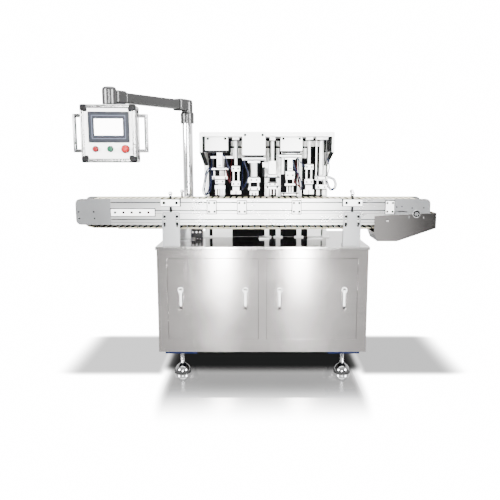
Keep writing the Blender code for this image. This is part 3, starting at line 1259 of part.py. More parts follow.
def build_arm(arm_frame):
    """Built along +X from the pole's axis, then turned with its frame."""
    bottom = POLE_TOP + FACE_GAP
    collar = turned([(0.0, COLLAR_TOP), (COLLAR_RADIUS, COLLAR_TOP), (COLLAR_RADIUS, bottom),
                     (0.0, bottom)], 0.0, 0.0)
    socket = rod((0, 0, bottom - BOX_FACE_RECESS),
                 (0, 0, POLE_TOP + POLE_SPIGOT_HEIGHT + FACE_GAP),
                 POLE_SPIGOT_RADIUS + FACE_GAP, 24)
    cut(collar, socket)
    elbow = rod((0, 0, COLLAR_TOP - OVERLAP), (0, 0, ELBOW_TOP), ELBOW_RADIUS, 24)
    half_y = ARM_WIDTH / 2
    half_z = ARM_HEIGHT / 2
    margin = ARM_CLAMP_MARGIN
    clamp_outline = rounded(-half_y - margin, half_y + margin, ARM_CENTRE_Z - half_z - margin,
                            ARM_CENTRE_Z + half_z + margin, (ARM_CORNER + margin,) * 4, 2)
    tube_outline = rounded(-half_y, half_y, ARM_CENTRE_Z - half_z, ARM_CENTRE_Z + half_z,
                           (ARM_CORNER,) * 4, 2)
    inner_clamp = plate(clamp_outline, (ARM_CLAMP_START, ARM_CLAMP_START + ARM_CLAMP_LENGTH), "YZ")
    outer_end = ARM_LENGTH - ARM_CLAMP_START
    outer_clamp = plate(clamp_outline, (outer_end - ARM_CLAMP_LENGTH, outer_end), "YZ")
    tube = plate(tube_outline, (ARM_CLAMP_START + ARM_CLAMP_LENGTH - OVERLAP,
                                outer_end - ARM_CLAMP_LENGTH + OVERLAP), "YZ")
    neck = rod((ARM_LENGTH, 0, NECK_SEAM), (ARM_LENGTH, 0, NECK_TOP), NECK_RADIUS, 24)
    fuse(collar, elbow, inner_clamp, tube, outer_clamp, neck)
    finish("swivel_arm", collar, "arm_grey", arm_frame)


def build_control_box(box_frame):
    """Built about its neck's axis, facing -Y, then turned with its frame."""
    half = BOX_WIDTH / 2
    front = -BOX_DEPTH / 2
    case = plate(rounded(-half, half, BOX_BOTTOM, BOX_TOP, (BOX_CORNER,) * 4), (front, -front))
    face = box((-half + BOX_BORDER, half - BOX_BORDER), (front - BOX_BORDER, front + BOX_FACE_RECESS),
               (BOX_BOTTOM + BOX_BORDER, BOX_TOP - BOX_BORDER))
    neck = rod((0, 0, BOX_TOP - OVERLAP), (0, 0, NECK_SEAM - FACE_GAP), NECK_RADIUS, 24)
    cut(case, face)
    bore_start = front + BOX_FACE_RECESS
    for offset in (STOP_OFFSET, START_OFFSET, EMERGENCY_OFFSET):
        bore = rod((offset, bore_start - BOX_FACE_RECESS, BUTTON_HEIGHT),
                   (offset, bore_start + BUTTON_BORE_DEPTH, BUTTON_HEIGHT),
                   BUTTON_STEM_RADIUS + FACE_GAP, 16)
        cut(case, bore)
    finish("control_box", fuse(case, neck), "anodised", box_frame)

    back = front + BOX_FACE_RECESS - FACE_GAP
    middle = SCREEN_FRAME_SHIFT
    frame_low = SCREEN_FRAME_MIDDLE - SCREEN_FRAME_HEIGHT / 2
    frame_high = SCREEN_FRAME_MIDDLE + SCREEN_FRAME_HEIGHT / 2
    bezel = plate(rounded(middle - SCREEN_FRAME_WIDTH / 2, middle + SCREEN_FRAME_WIDTH / 2,
                          frame_low, frame_high, (SCREEN_FRAME_CORNER,) * 4, 3),
                  (back - SCREEN_FRAME_THICKNESS, back))
    glass = box((middle - SCREEN_WIDTH / 2, middle + SCREEN_WIDTH / 2),
                (back - 2 * SCREEN_FRAME_THICKNESS, back - SCREEN_FRAME_THICKNESS + SCREEN_RECESS),
                (SCREEN_FRAME_MIDDLE - SCREEN_HEIGHT / 2, SCREEN_FRAME_MIDDLE + SCREEN_HEIGHT / 2))
    finish("touch_screen", cut(bezel, glass), "slate", box_frame)

    for side, sign in (("left", -1), ("right", 1)):
        inner = half + FACE_GAP
        outer = half + HANDLE_REACH
        grip = [(inner, HANDLE_BOTTOM), (outer, HANDLE_BOTTOM), (outer, HANDLE_TOP),
                (inner, HANDLE_TOP), (inner, HANDLE_TOP - HANDLE_END),
                (outer - HANDLE_BAR, HANDLE_TOP - HANDLE_END),
                (outer - HANDLE_BAR, HANDLE_BOTTOM + HANDLE_END), (inner, HANDLE_BOTTOM + HANDLE_END)]
        outline = [(sign * across, height) for across, height in grip]
        handle = plate(outline, (-HANDLE_DEPTH / 2, HANDLE_DEPTH / 2))
        finish(f"box_handle_{side}", handle, "machined", box_frame)


def build_buttons(box_frame):
    face = -BOX_DEPTH / 2 + BOX_FACE_RECESS
    kinds = (("stop_button", STOP_OFFSET, BUTTON_CAP_RADIUS, BUTTON_CAP_THICKNESS, "red"),
             ("start_button", START_OFFSET, BUTTON_CAP_RADIUS, BUTTON_CAP_THICKNESS, "green"),
             ("emergency_button", EMERGENCY_OFFSET, EMERGENCY_CAP_RADIUS, EMERGENCY_CAP_THICKNESS, "red"))
    for name, offset, radius, thickness, look in kinds:
        cap_back = face - BUTTON_TRAVEL_SPACE
        cap = rod((offset, cap_back - thickness, BUTTON_HEIGHT), (offset, cap_back, BUTTON_HEIGHT),
                  radius, 20)
        stem_end = face + BUTTON_BORE_DEPTH - BUTTON_TRAVEL_SPACE
        stem = rod((offset, cap_back - thickness / 2, BUTTON_HEIGHT),
                   (offset, stem_end, BUTTON_HEIGHT), BUTTON_STEM_RADIUS, 16)
        finish(name, fuse(cap, stem), look, box_frame, (offset, face, BUTTON_HEIGHT))


# Air hoses: routes chosen by hand, smoothed and swept
HOSE_ROUTES = {
    "air_hose_left": ((-0.3165, 0.160, 1.287), (-0.330, 0.160, 1.286), (-0.346, 0.162, 1.262),
                      (-0.358, 0.166, 1.205), (-0.368, 0.172, 1.155), (-0.362, 0.190, 1.132),
                      (-0.347, 0.215, 1.140), (-0.338, 0.250, 1.180), (-0.332, 0.300, 1.250),
                      (-0.330, 0.350, 1.330), (-0.330, 0.395, 1.378), (-0.330, 0.4245, 1.385)),
    "air_hose_right": ((0.4060, 0.160, 1.232), (0.420, 0.160, 1.233), (0.442, 0.161, 1.224),
                       (0.456, 0.168, 1.196), (0.452, 0.185, 1.170), (0.438, 0.215, 1.162),
                       (0.430, 0.260, 1.178), (0.427, 0.320, 1.205), (0.426, 0.380, 1.225),
                       (0.426, 0.4222, 1.232)),
    "air_hose_middle": ((-0.2484, 0.175, 1.375), (-0.241, 0.175, 1.375), (-0.232, 0.178, 1.360),
                        (-0.223, 0.180, 1.330), (-0.214, 0.181, 1.302), (-0.204, 0.181, 1.291),
                        (-0.1915, 0.181, 1.290)),
}


def smooth_route(points, spacing=0.020):
    """Points along a smooth curve through the route's own points."""
    points = [Vector(point) for point in points]
    ends = [2 * points[0] - points[1], *points, 2 * points[-1] - points[-2]]
    route = [points[0]]
    for index in range(1, len(ends) - 2):
        before, start, end, after = ends[index - 1:index + 3]
        steps = max(1, round((end - start).length / spacing))
        for step in range(1, steps + 1):
            t = step / steps
            route.append(0.5 * (2 * start + (end - before) * t
                                + (2 * before - 5 * start + 4 * end - after) * t ** 2
                                + (3 * start - before - 3 * end + after) * t ** 3))
    return route


def build_hoses(machine):
    for name, points in HOSE_ROUTES.items():
        curve = bpy.data.curves.new(name, "CURVE")
        curve.dimensions = "3D"
        curve.bevel_depth = HOSE_RADIUS
        curve.bevel_resolution = 2
        curve.use_fill_caps = True
        route = smooth_route(points)
        spline = curve.splines.new("POLY")
        spline.points.add(len(route) - 1)
        for point, place in zip(spline.points, route):
            point.co = (*place, 1.0)
        item = raw_object(curve)
        mesh = evaluated_mesh(item)
        bpy.data.objects.remove(item)
        shape = bmesh.new()
        shape.from_mesh(mesh)
        bmesh.ops.remove_doubles(shape, verts=shape.verts, dist=WELD_DISTANCE)
        finish(name, from_bmesh(shape), "navy_hose", machine)


def centre_on_floor(machine):
    """Move the machine so that the origin lies under the middle of its box."""
    bpy.context.view_layer.update()
    corners = []
    for item in COLLECTION.objects:
        if item.type == "MESH":
            corners += [item.matrix_world @ vertex.co for vertex in item.data.vertices]
    for axis in (0, 1):
        values = [corner[axis] for corner in corners]
        machine.location[axis] -= (min(values) + max(values)) / 2
    bpy.context.view_layer.update()


def build_machine():
    machine = empty("machine", (0.0, 0.0, 0.0))
    conveyor = empty("conveyor", (0.0, 0.0, 0.0), machine)
    drive = empty("drive_axis", (DRIVE_AXIS_X, CONVEYOR_MIDDLE, CHAIN_AXIS_Z), conveyor)
    idler = empty("idler_axis", (IDLER_AXIS_X, CONVEYOR_MIDDLE, CHAIN_AXIS_Z), conveyor)
    arm_frame = empty("arm_axis", (POLE_X, POLE_Y, 0.0), machine, ARM_YAW)
    box_frame = empty("box_axis", (BOX_PIVOT_X, BOX_PIVOT_Y, 0.0), machine, BOX_YAW)
    build_cabinet(machine)
    build_feet(machine)
    build_panels(machine)
    build_chain(conveyor)
    build_shafts(drive, idler)
    build_rails(conveyor)
    build_end_plates(conveyor)
    build_tracks(conveyor)
    build_brackets(machine)
    build_drive_cover(conveyor)
    build_gear_motor(conveyor)
    build_gantry(machine)
    build_stations(machine)
    build_pole(machine)
    build_arm(arm_frame)
    build_control_box(box_frame)
    build_buttons(box_frame)
    build_hoses(machine)
    centre_on_floor(machine)


build_machine()
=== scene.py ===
"""Looks of the bolus capping machine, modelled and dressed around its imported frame.

Places are written in the machine's own frame, in metres: X from the cabinet's middle, Y from the
table's front edge towards the back, Z from the floor. The function at() moves them to the row frame.
"""
import logging
import math
from collections.abc import Callable, Iterable, Sequence
from dataclasses import dataclass, field
from enum import Enum
from typing import Any

import bpy
from mathutils import Matrix, Vector


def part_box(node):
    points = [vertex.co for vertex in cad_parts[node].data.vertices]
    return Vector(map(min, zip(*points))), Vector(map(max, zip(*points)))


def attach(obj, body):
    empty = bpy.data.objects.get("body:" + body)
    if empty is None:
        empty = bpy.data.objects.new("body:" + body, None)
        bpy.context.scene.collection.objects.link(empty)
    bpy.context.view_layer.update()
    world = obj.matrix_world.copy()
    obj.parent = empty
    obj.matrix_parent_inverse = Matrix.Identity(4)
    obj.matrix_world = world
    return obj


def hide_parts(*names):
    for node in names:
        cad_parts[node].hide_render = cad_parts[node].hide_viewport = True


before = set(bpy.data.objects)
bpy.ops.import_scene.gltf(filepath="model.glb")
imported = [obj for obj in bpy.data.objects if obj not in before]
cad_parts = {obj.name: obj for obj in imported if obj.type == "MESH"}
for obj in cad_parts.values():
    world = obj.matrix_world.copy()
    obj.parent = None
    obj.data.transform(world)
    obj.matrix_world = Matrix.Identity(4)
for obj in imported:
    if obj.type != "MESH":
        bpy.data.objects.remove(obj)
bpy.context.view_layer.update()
NODES: dict[str, bpy.types.Object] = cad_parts
LOG = logging.getLogger("bolus_capping_machine")

Point = Sequence[float]
Piece = bpy.types.Object

CABINET_LOW, CABINET_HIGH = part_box("cabinet")
TABLE_LOW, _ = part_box("table_top")
ORIGIN = Vector(((CABINET_LOW.x + CABINET_HIGH.x) / 2, TABLE_LOW.y, 0.0))
CONVEYOR_MIDDLE = 0.16925
CONVEYOR_FRONT = 0.052
CHAIN_AXIS_Z = 1.019


class Axis(Enum):
    """The direction that a turned or fastened piece points in."""

    RIGHT = (1.0, 0.0, 0.0)
    BACK = (0.0, 1.0, 0.0)
    FRONT = (0.0, -1.0, 0.0)
    UP = (0.0, 0.0, 1.0)

    def turn(self) -> Matrix:
        """Return the matrix that turns upward things to this direction."""
        return Vector((0.0, 0.0, 1.0)).rotation_difference(Vector(self.value)).to_matrix().to_4x4()


class Grain(Enum):
    """The way that a surface's fine marks run."""

    LEVEL = "level"
    ALONG_X = "along_x"
    UPRIGHT = "upright"
    EVEN = "even"


class Slot(Enum):
    """The record's material slots."""

    STAINLESS = "brushed_stainless"
    POLISHED = "polished_stainless"
    ANODISED = "anodised_aluminium"
    MACHINED = "machined_aluminium"
    SHAFT = "shaft_steel"
    BLACK = "black_enamel"
    ACETAL = "ivory_acetal"
    ARM = "grey_cast_aluminium"
    MOTOR = "motor_enamel"
    SCREEN = "screen_frame"
    RED = "red_button"
    GREEN = "green_button"
    HOSE = "navy_hose"


def at(x: float, y: float, z: float) -> Vector:
    """Move a point from the machine's own frame to the row frame.

    Args:
        x: Distance to the right of the cabinet's middle.
        y: Distance behind the table's front edge.
        z: Height above the floor.

    Returns:
        The same point in the row frame.
    """
    return ORIGIN + Vector((x, y, z))


def linear(code: str) -> tuple[float, float, float, float]:
    """Turn an sRGB hex colour to linear values.

    Args:
        code: Six hex digits after a number sign.

    Returns:
        Red, green, blue and a full alpha.
    """
    shares = [int(code[place:place + 2], 16) / 255 for place in (1, 3, 5)]
    values = [share / 12.92 if share <= 0.04045 else ((share + 0.055) / 1.055) ** 2.4 for share in shares]
    return (values[0], values[1], values[2], 1.0)


def add_node(tree: bpy.types.NodeTree, kind: str, settings: dict[str, Any] | None = None,
             links: dict[str | int, bpy.types.NodeSocket] | None = None) -> bpy.types.Node:
    """Add one shader node with its settings and its incoming links.

    Args:
        tree: The node tree that it joins.
        kind: The node's type name.
        settings: Values by attribute name, or by input name where no attribute has it.
        links: Output sockets by the name or number of the input that they feed.

    Returns:
        The new node.
    """
    node = tree.nodes.new(kind)
    for name, value in (settings or {}).items():
        if hasattr(node, name):
            setattr(node, name, value)
        else:
            node.inputs[name].default_value = value
    for name, socket in (links or {}).items():
        tree.links.new(socket, node.inputs[name])
    return node


@dataclass(frozen=True)
class Finish:
    """A real surface: its colour, gloss and fine marks."""

    name: str
    colour: str
    roughness: float
    metallic: float = 0.0
    ior: float = 1.5
    specular: float = 0.5
    coat: float = 0.0
    anisotropy: float = 0.0
    grain: Grain = Grain.EVEN
    grain_mm: float = 3.0
    streak: float = 40.0
    relief_mm: float = 0.02
    tone_swing: float = 0.03
    gloss_swing: float = 0.04
    smear_mm: float = 160.0
    glow: float = 0.0

    def pattern_scale(self) -> tuple[float, float, float]:
        """Return the marks per metre along X, Y and Z."""
        fine = 1000 / self.grain_mm
        long = fine / self.streak
        return {
            Grain.LEVEL: (long, long, fine),
            Grain.ALONG_X: (long, fine, fine),
            Grain.UPRIGHT: (fine, fine, long),
            Grain.EVEN: (fine, fine, fine),
        }[self.grain]

    def material(self) -> bpy.types.Material:
        """Return the material, made the first time that it is asked for.

        Returns:
            A Principled material whose tone, gloss and relief follow the grain and broad smears.
        """
        known = bpy.data.materials.get(self.name)
        if known is not None:
            return known
        made = bpy.data.materials.new(self.name)
        made.use_nodes = True
        tree = made.node_tree
        shader = tree.nodes["Principled BSDF"]
        place = add_node(tree, "ShaderNodeTexCoord")
        spread = add_node(tree, "ShaderNodeMapping", {"Scale": self.pattern_scale()},
                          {"Vector": place.outputs["Object"]})
        marks = add_node(tree, "ShaderNodeTexNoise", {"Scale": 1.0, "Detail": 3.0, "Roughness": 0.6},
                         {"Vector": spread.outputs["Vector"]})
        smears = add_node(tree, "ShaderNodeTexNoise",
                          {"Scale": 1000 / self.smear_mm, "Detail": 2.0, "Roughness": 0.5},
                          {"Vector": place.outputs["Object"]})
        both = add_node(tree, "ShaderNodeMath", {"operation": "ADD"},
                        {0: marks.outputs[0], 1: smears.outputs[0]})
        gloss = add_node(tree, "ShaderNodeMapRange",
                         {"From Min": 0.6, "From Max": 1.4,
                          "To Min": max(0.02, self.roughness - self.gloss_swing),
                          "To Max": self.roughness + self.gloss_swing},
                         {"Value": both.outputs[0]})
        tone = add_node(tree, "ShaderNodeMapRange",
                        {"From Min": 0.6, "From Max": 1.4,
                         "To Min": 1.0 - self.tone_swing, "To Max": 1.0 + self.tone_swing},
                        {"Value": both.outputs[0]})
        tint = add_node(tree, "ShaderNodeVectorMath",
                        {"operation": "SCALE"}, {"Scale": tone.outputs[0]})
        tint.inputs[0].default_value = linear(self.colour)[:3]
        relief = add_node(tree, "ShaderNodeBump",
                          {"Strength": 1.0, "Distance": self.relief_mm / 1000},
                          {"Height": marks.outputs[0]})
        tree.links.new(tint.outputs[0], shader.inputs["Base Color"])
        tree.links.new(gloss.outputs[0], shader.inputs["Roughness"])
        tree.links.new(relief.outputs[0], shader.inputs["Normal"])
        shader.inputs["Metallic"].default_value = self.metallic
        if self.metallic == 0.0:
            shader.inputs["IOR"].default_value = self.ior
            shader.inputs["Specular IOR Level"].default_value = self.specular
        if self.anisotropy:
            shader.inputs["Anisotropic"].default_value = self.anisotropy
            shader.inputs["Anisotropic Rotation"].default_value = 0.25
        if self.coat:
            shader.inputs["Coat Weight"].default_value = self.coat
            shader.inputs["Coat Roughness"].default_value = 0.08
        if self.glow:
            shader.inputs["Emission Color"].default_value = linear(self.colour)
            shader.inputs["Emission Strength"].default_value = self.glow
        return made


# Number 4 brushed 304 stainless sheet: level belt marks stretch every light into an upright band.
# The real marks are 0.1 mm apart, and are drawn 3 mm apart so that they show.
BRUSHED_STAINLESS = Finish("brushed_stainless_sheet", "#AEAAA8", 0.175, metallic=1.0, anisotropy=0.85,
                           grain=Grain.LEVEL, grain_mm=3.0, streak=80, relief_mm=0.008,
                           tone_swing=0.11, gloss_swing=0.03, smear_mm=300)
# The same sheet lying flat as the table, brushed along the machine and glossier.
TABLE_STAINLESS = Finish("table_stainless_sheet", "#B7B5B3", 0.12, metallic=1.0,
                         grain=Grain.ALONG_X, grain_mm=3.0, streak=80, relief_mm=0.004,
                         tone_swing=0.04, gloss_swing=0.03, smear_mm=260)
# Folded stainless of the trough, brushed along its length.
TROUGH_STAINLESS = Finish("trough_stainless_sheet", "#A19E9C", 0.13, metallic=1.0, anisotropy=0.7,
                          grain=Grain.LEVEL, grain_mm=2.5, streak=60, relief_mm=0.003,
                          tone_swing=0.05, gloss_swing=0.03)
# Polished stainless tube and turned parts: a tight reflection with faint turning marks.
POLISHED_STAINLESS = Finish("polished_stainless", "#CFCECC", 0.14, metallic=1.0, grain=Grain.UPRIGHT,
                            grain_mm=2.5, streak=60, relief_mm=0.002, tone_swing=0.02, gloss_swing=0.04)
# Satin chrome castings of the latches: pale from every side.
SATIN_CHROME = Finish("satin_chrome_casting", "#F2F2F1", 0.30, metallic=0.45, grain_mm=1.5, relief_mm=0.003,
                      tone_swing=0.02)
# Clear anodised aluminium extrusion: silky, with die lines along its length.
ANODISED_RAIL = Finish("anodised_aluminium_extrusion", "#B6B6B5", 0.30, metallic=0.9, anisotropy=0.5,
                       grain=Grain.ALONG_X, grain_mm=3.5, streak=120, relief_mm=0.006,
                       tone_swing=0.05, gloss_swing=0.05)
# Anodised aluminium end plates, bead blasted first: an even grey sheen.
ANODISED_PLATE = Finish("bead_blasted_aluminium_plate", "#777879", 0.34, metallic=0.95,
                        grain_mm=2.0, relief_mm=0.006, tone_swing=0.02, gloss_swing=0.04)
# Support brackets of aluminium plate, brushed upright: a mid grey that lets their slots show.
BRACKET_PLATE = Finish("brushed_bracket_plate", "#858687", 0.32, metallic=0.75, grain=Grain.UPRIGHT,
                       grain_mm=2.5, streak=50, relief_mm=0.006, tone_swing=0.04, gloss_swing=0.04)
# Clear anodised machined blocks: pale, nearly white under the lamps.
MACHINED_BLOCK = Finish("machined_aluminium_block", "#F1F1F0", 0.38, metallic=0.25, ior=1.5,
                        grain_mm=2.0, relief_mm=0.006, tone_swing=0.02, gloss_swing=0.05)
# White lacquered sheet of the station covers.
WHITE_COVER = Finish("white_lacquered_cover", "#FCFCFB", 0.40, coat=0.2, grain_mm=2.5, relief_mm=0.006,
                     tone_swing=0.01)
# Hard anodised plates of the slides and grippers: a satin mid grey.
HARD_ANODISED = Finish("hard_anodised_plate", "#55575A", 0.36, metallic=0.5, grain_mm=1.8,
                       relief_mm=0.008, tone_swing=0.03)
# Turned carbon steel shafts with a fine feed mark.
TURNED_STEEL = Finish("turned_steel", "#9FA0A1", 0.25, metallic=1.0, grain_mm=1.5, relief_mm=0.004)
# Chrome plated feet: a dark mirror, as they see mostly floor and shade.
CHROME_FOOT = Finish("chrome_plated_foot", "#7C7C7D", 0.12, metallic=1.0, grain_mm=1.5, relief_mm=0.002)
# Black oxide screws: dark, with an oily half gloss.
BLACK_OXIDE = Finish("black_oxide_steel", "#0A0A0B", 0.40, specular=0.06, grain_mm=1.5, relief_mm=0.005)
# Black powder coat of the rear sheet: soft sheen, fine orange peel. The same finish also paints shade on the
# inner faces of the gantry's side plates and under their slanted edges.
BLACK_COAT_AND_SHADE = Finish("black_powder_coat_and_painted_shade", "#050506", 0.60, specular=0.05, grain_mm=1.6, relief_mm=0.03,
                           tone_swing=0.06)
# Moulded acetal slats: waxy ivory.
IVORY_ACETAL = Finish("moulded_acetal", "#BDB59B", 0.36, ior=1.48, grain_mm=4.0, relief_mm=0.010,
                      tone_swing=0.04, gloss_swing=0.06)
# The chain's hinge barrels and the strips over them, dark: painted shade in the gaps between the slats, so
# that the slats stand apart.
HINGE_GAP_SHADE = Finish("chain_hinge_painted_shade", "#0F0F0F", 0.6, specular=0.02, grain_mm=1.5, relief_mm=0.01)
# Die cast arm joints and tube under grey lacquer.
GREY_LACQUER = Finish("lacquered_aluminium_casting", "#3F3F3F", 0.28, metallic=0.85,
                      grain_mm=2.2, relief_mm=0.02, tone_swing=0.03)
# Hammered grey enamel of the gear motor.
MOTOR_ENAMEL = Finish("hammered_motor_enamel", "#4A5058", 0.38, coat=0.3, grain_mm=5.0, relief_mm=0.12,
                      tone_swing=0.05)
# Natural anodised round-edge profile of the operator box.
BOX_PROFILE = Finish("box_edge_profile", "#9C9C9B", 0.20, metallic=1.0, grain_mm=1.8, relief_mm=0.004)
# White lacquered front plate.
WHITE_PLATE = Finish("white_lacquered_plate", "#F6F5F4", 0.34, coat=0.2, grain_mm=2.5, relief_mm=0.008,
                     tone_swing=0.01)
# Moulded black nylon: corner caps, glands and valve blocks. The same finish also paints shade in the gap
# under and behind each station cover and at the joints of the stations' stacked plates.
BLACK_NYLON_AND_SHADE = Finish("moulded_black_nylon_and_painted_shade", "#060607", 0.38, specular=0.12, grain_mm=1.5, relief_mm=0.02)
# Slate grey screen frame, its dark rim and its paler inner step.
SLATE_FRAME = Finish("slate_screen_frame", "#1C1F26", 0.36, specular=0.15, grain_mm=1.2, relief_mm=0.015)
DARK_RIM = Finish("dark_screen_rim", "#0C0D10", 0.36, specular=0.1, grain_mm=1.2, relief_mm=0.015)
PALE_STEP = Finish("pale_screen_step", "#4A5060", 0.34, specular=0.15, grain_mm=1.2, relief_mm=0.012)
# The lit, blank panel of the screen under its glass.
LIT_SCREEN = Finish("lit_screen", "#FFFFFF", 0.12, ior=1.52, coat=0.6, relief_mm=0.0,
                    tone_swing=0.0, gloss_swing=0.01, glow=6.0)
# Glossy button caps.
RED_CAP = Finish("red_button_cap", "#6E0711", 0.24, specular=0.2, coat=0.1, relief_mm=0.002)
MUSHROOM_RED = Finish("mushroom_red_cap", "#8C070A", 0.24, specular=0.2, coat=0.1, relief_mm=0.002)
GREEN_CAP = Finish("green_button_cap", "#04432C", 0.24, specular=0.2, coat=0.1, relief_mm=0.002)
# Polyurethane air tube, and the thin red one of the vacuum line.
NAVY_TUBE = Finish("navy_polyurethane_tube", "#040D2B", 0.26, specular=0.2, coat=0.12, relief_mm=0.0)
RED_TUBE = Finish("red_polyurethane_tube", "#36050B", 0.26, specular=0.2, coat=0.12, relief_mm=0.0)
# Navy enamel of the foot plates, and black rubber under the feet. The black rubber finish also paints shade:
# strips in the rails' grooves, outlines round the guide plates and clamps, and strips along and between the
# gantry's beams.
NAVY_ENAMEL = Finish("navy_enamel", "#060F2C", 0.30, specular=0.15, grain_mm=3.0, relief_mm=0.02)
BLACK_RUBBER_AND_SHADE = Finish("black_rubber_and_painted_shade", "#080808", 0.70, specular=0.05, grain_mm=1.2, relief_mm=0.03)


def clear_selection() -> None:
    """Leave edit mode and deselect everything, because an operator acts on all that is selected."""
    active = bpy.context.view_layer.objects.active
    if active is not None and active.mode != "OBJECT":
        bpy.ops.object.mode_set(mode="OBJECT")
    bpy.ops.object.select_all(action="DESELECT")


def pick(*chosen: Piece) -> None:
    """Select just these pieces, the first of them active."""
    clear_selection()
    for piece in chosen:
        piece.select_set(True)
    bpy.context.view_layer.objects.active = chosen[0]


def apply_modifier(piece: Piece, kind: str, **settings: Any) -> Piece:
    """Add one modifier to a piece and apply it.

    Args:
        piece: The piece to change.
        kind: The modifier's type name.
        **settings: The modifier's values by name.

    Returns:
        The same piece.
    """
    pick(piece)
    modifier = piece.modifiers.new("shape", kind)
    for name, value in settings.items():
        setattr(modifier, name, value)
    bpy.ops.object.modifier_apply(modifier=modifier.name)
    return piece


def round_edges(piece: Piece, width: float, segments: int = 2, angle: float = 40.0) -> Piece:
    """Round the edges of a piece that are sharper than an angle.

    Args:
        piece: The piece to round.
        width: How far the rounding reaches from the edge.
        segments: Number of facets across the rounding.
        angle: Smallest angle between faces that is rounded, in degrees.

    Returns:
        The same piece.
    """
    return apply_modifier(piece, "BEVEL", width=width, segments=segments, limit_method="ANGLE",
                          angle_limit=math.radians(angle), use_clamp_overlap=True)


def block(first: Point, second: Point, edge: float = 0.0008, segments: int = 2) -> Piece:
    """Model a block with softened edges.

    Args:
        first: One corner.
        second: The opposite corner.
        edge: Width of the edge rounding.
        segments: Facets across the rounding.

    Returns:
        The new block.
    """
    clear_selection()
    run = Vector(second) - Vector(first)
    bpy.ops.mesh.primitive_cube_add(size=1.0, location=(Vector(first) + Vector(second)) / 2)
    piece = bpy.context.object
    piece.scale = [abs(length) for length in run]
    bpy.ops.object.transform_apply(location=True, rotation=True, scale=True)
    return round_edges(piece, edge, segments) if edge else piece


def lathe(profile: Sequence[Point], foot: Point = (0.0, 0.0, 0.0), axis: Axis = Axis.UP,
          sides: int = 32) -> Piece:
    """Turn a piece by drawing a disc out and widening it step by step.

    Args:
        profile: Radius and height of each step, from the foot up; heights count from the foot.
        foot: Place of the profile's zero height, in the row frame.
        axis: Direction of the height.
        sides: Number of facets round the piece.

    Returns:
        The turned piece, closed at both ends.
    """
    clear_selection()
    (radius, start), *steps = profile
    bpy.ops.mesh.primitive_circle_add(vertices=sides, radius=radius, fill_type="NGON",
                                      location=(0.0, 0.0, start))
    piece = bpy.context.object
    bpy.ops.object.transform_apply(location=True, rotation=True, scale=True)
    bpy.ops.object.mode_set(mode="EDIT")
    bpy.ops.mesh.select_all(action="SELECT")
    height = start
    for next_radius, next_height in steps:
        bpy.ops.mesh.extrude_region_move(
            TRANSFORM_OT_translate={"value": (0.0, 0.0, next_height - height)})
        share = next_radius / radius
        bpy.ops.transform.resize(value=(share, share, 1.0), center_override=(0.0, 0.0, next_height))
        radius, height = next_radius, next_height
    bpy.ops.mesh.select_all(action="SELECT")
    bpy.ops.mesh.normals_make_consistent(inside=False)
    bpy.ops.object.mode_set(mode="OBJECT")
    piece.data.transform(Matrix.Translation(Vector(foot)) @ axis.turn())
    return piece


def bar(start: Point, end: Point, radius: float, sides: int = 24, edge: float = 0.0) -> Piece:
    """Model a round bar between two points.

    Args:
        start: Middle of one end.
        end: Middle of the other end.
        radius: Radius of the bar.
        sides: Number of facets round it.
        edge: Width of the rounding at its ends.

    Returns:
        The new bar.
    """
    clear_selection()
    run = Vector(end) - Vector(start)
    turn = Vector((0.0, 0.0, 1.0)).rotation_difference(run)
    bpy.ops.mesh.primitive_cylinder_add(vertices=sides, radius=radius, depth=run.length,
                                        location=(Vector(start) + Vector(end)) / 2,
                                        rotation=turn.to_euler())
    piece = bpy.context.object
    bpy.ops.object.transform_apply(location=True, rotation=True, scale=True)
    return round_edges(piece, edge, 2, 60.0) if edge else piece


def refined(node: str, edge: float, segments: int = 2) -> Piece:
    """Copy a CAD solid, merge its loose triangles to clean faces and round its edges.

    Args:
        node: Name of the CAD node.
        edge: Width of the edge rounding.
        segments: Facets across the rounding.

    Returns:
        The copy, which has the node's place in its mesh.
    """
    source = NODES[node]
    piece = bpy.data.objects.new(node + "_copy", source.data.copy())
    bpy.context.scene.collection.objects.link(piece)
    pick(piece)
    bpy.ops.mesh.customdata_custom_splitnormals_clear()
    bpy.ops.object.mode_set(mode="EDIT")
    bpy.ops.mesh.select_all(action="SELECT")
    bpy.ops.mesh.remove_doubles(threshold=0.00002)
    bpy.ops.mesh.dissolve_limited(angle_limit=math.radians(0.5))
    bpy.ops.object.mode_set(mode="OBJECT")
    return round_edges(piece, edge, segments) if edge else piece


def copies(pattern: Piece, places: Iterable[Matrix]) -> list[Piece]:
    """Copy a pattern piece to several places, each copy with its own mesh.

    Args:
        pattern: The piece modelled at the origin; it is used up.
        places: Where each copy goes.

    Returns:
        The copies.
    """
    made = []
    for place in places:
        mesh = pattern.data.copy()
        mesh.transform(place)
        copy = bpy.data.objects.new("copy", mesh)
        bpy.context.scene.collection.objects.link(copy)
        made.append(copy)
    bpy.data.objects.remove(pattern)
    return made


def joined(parts: Sequence[Piece]) -> Piece:
    """Join several pieces of one finish to one object."""
    pick(*parts)
    if len(parts) > 1:
        bpy.ops.object.join()
    return bpy.context.view_layer.objects.active


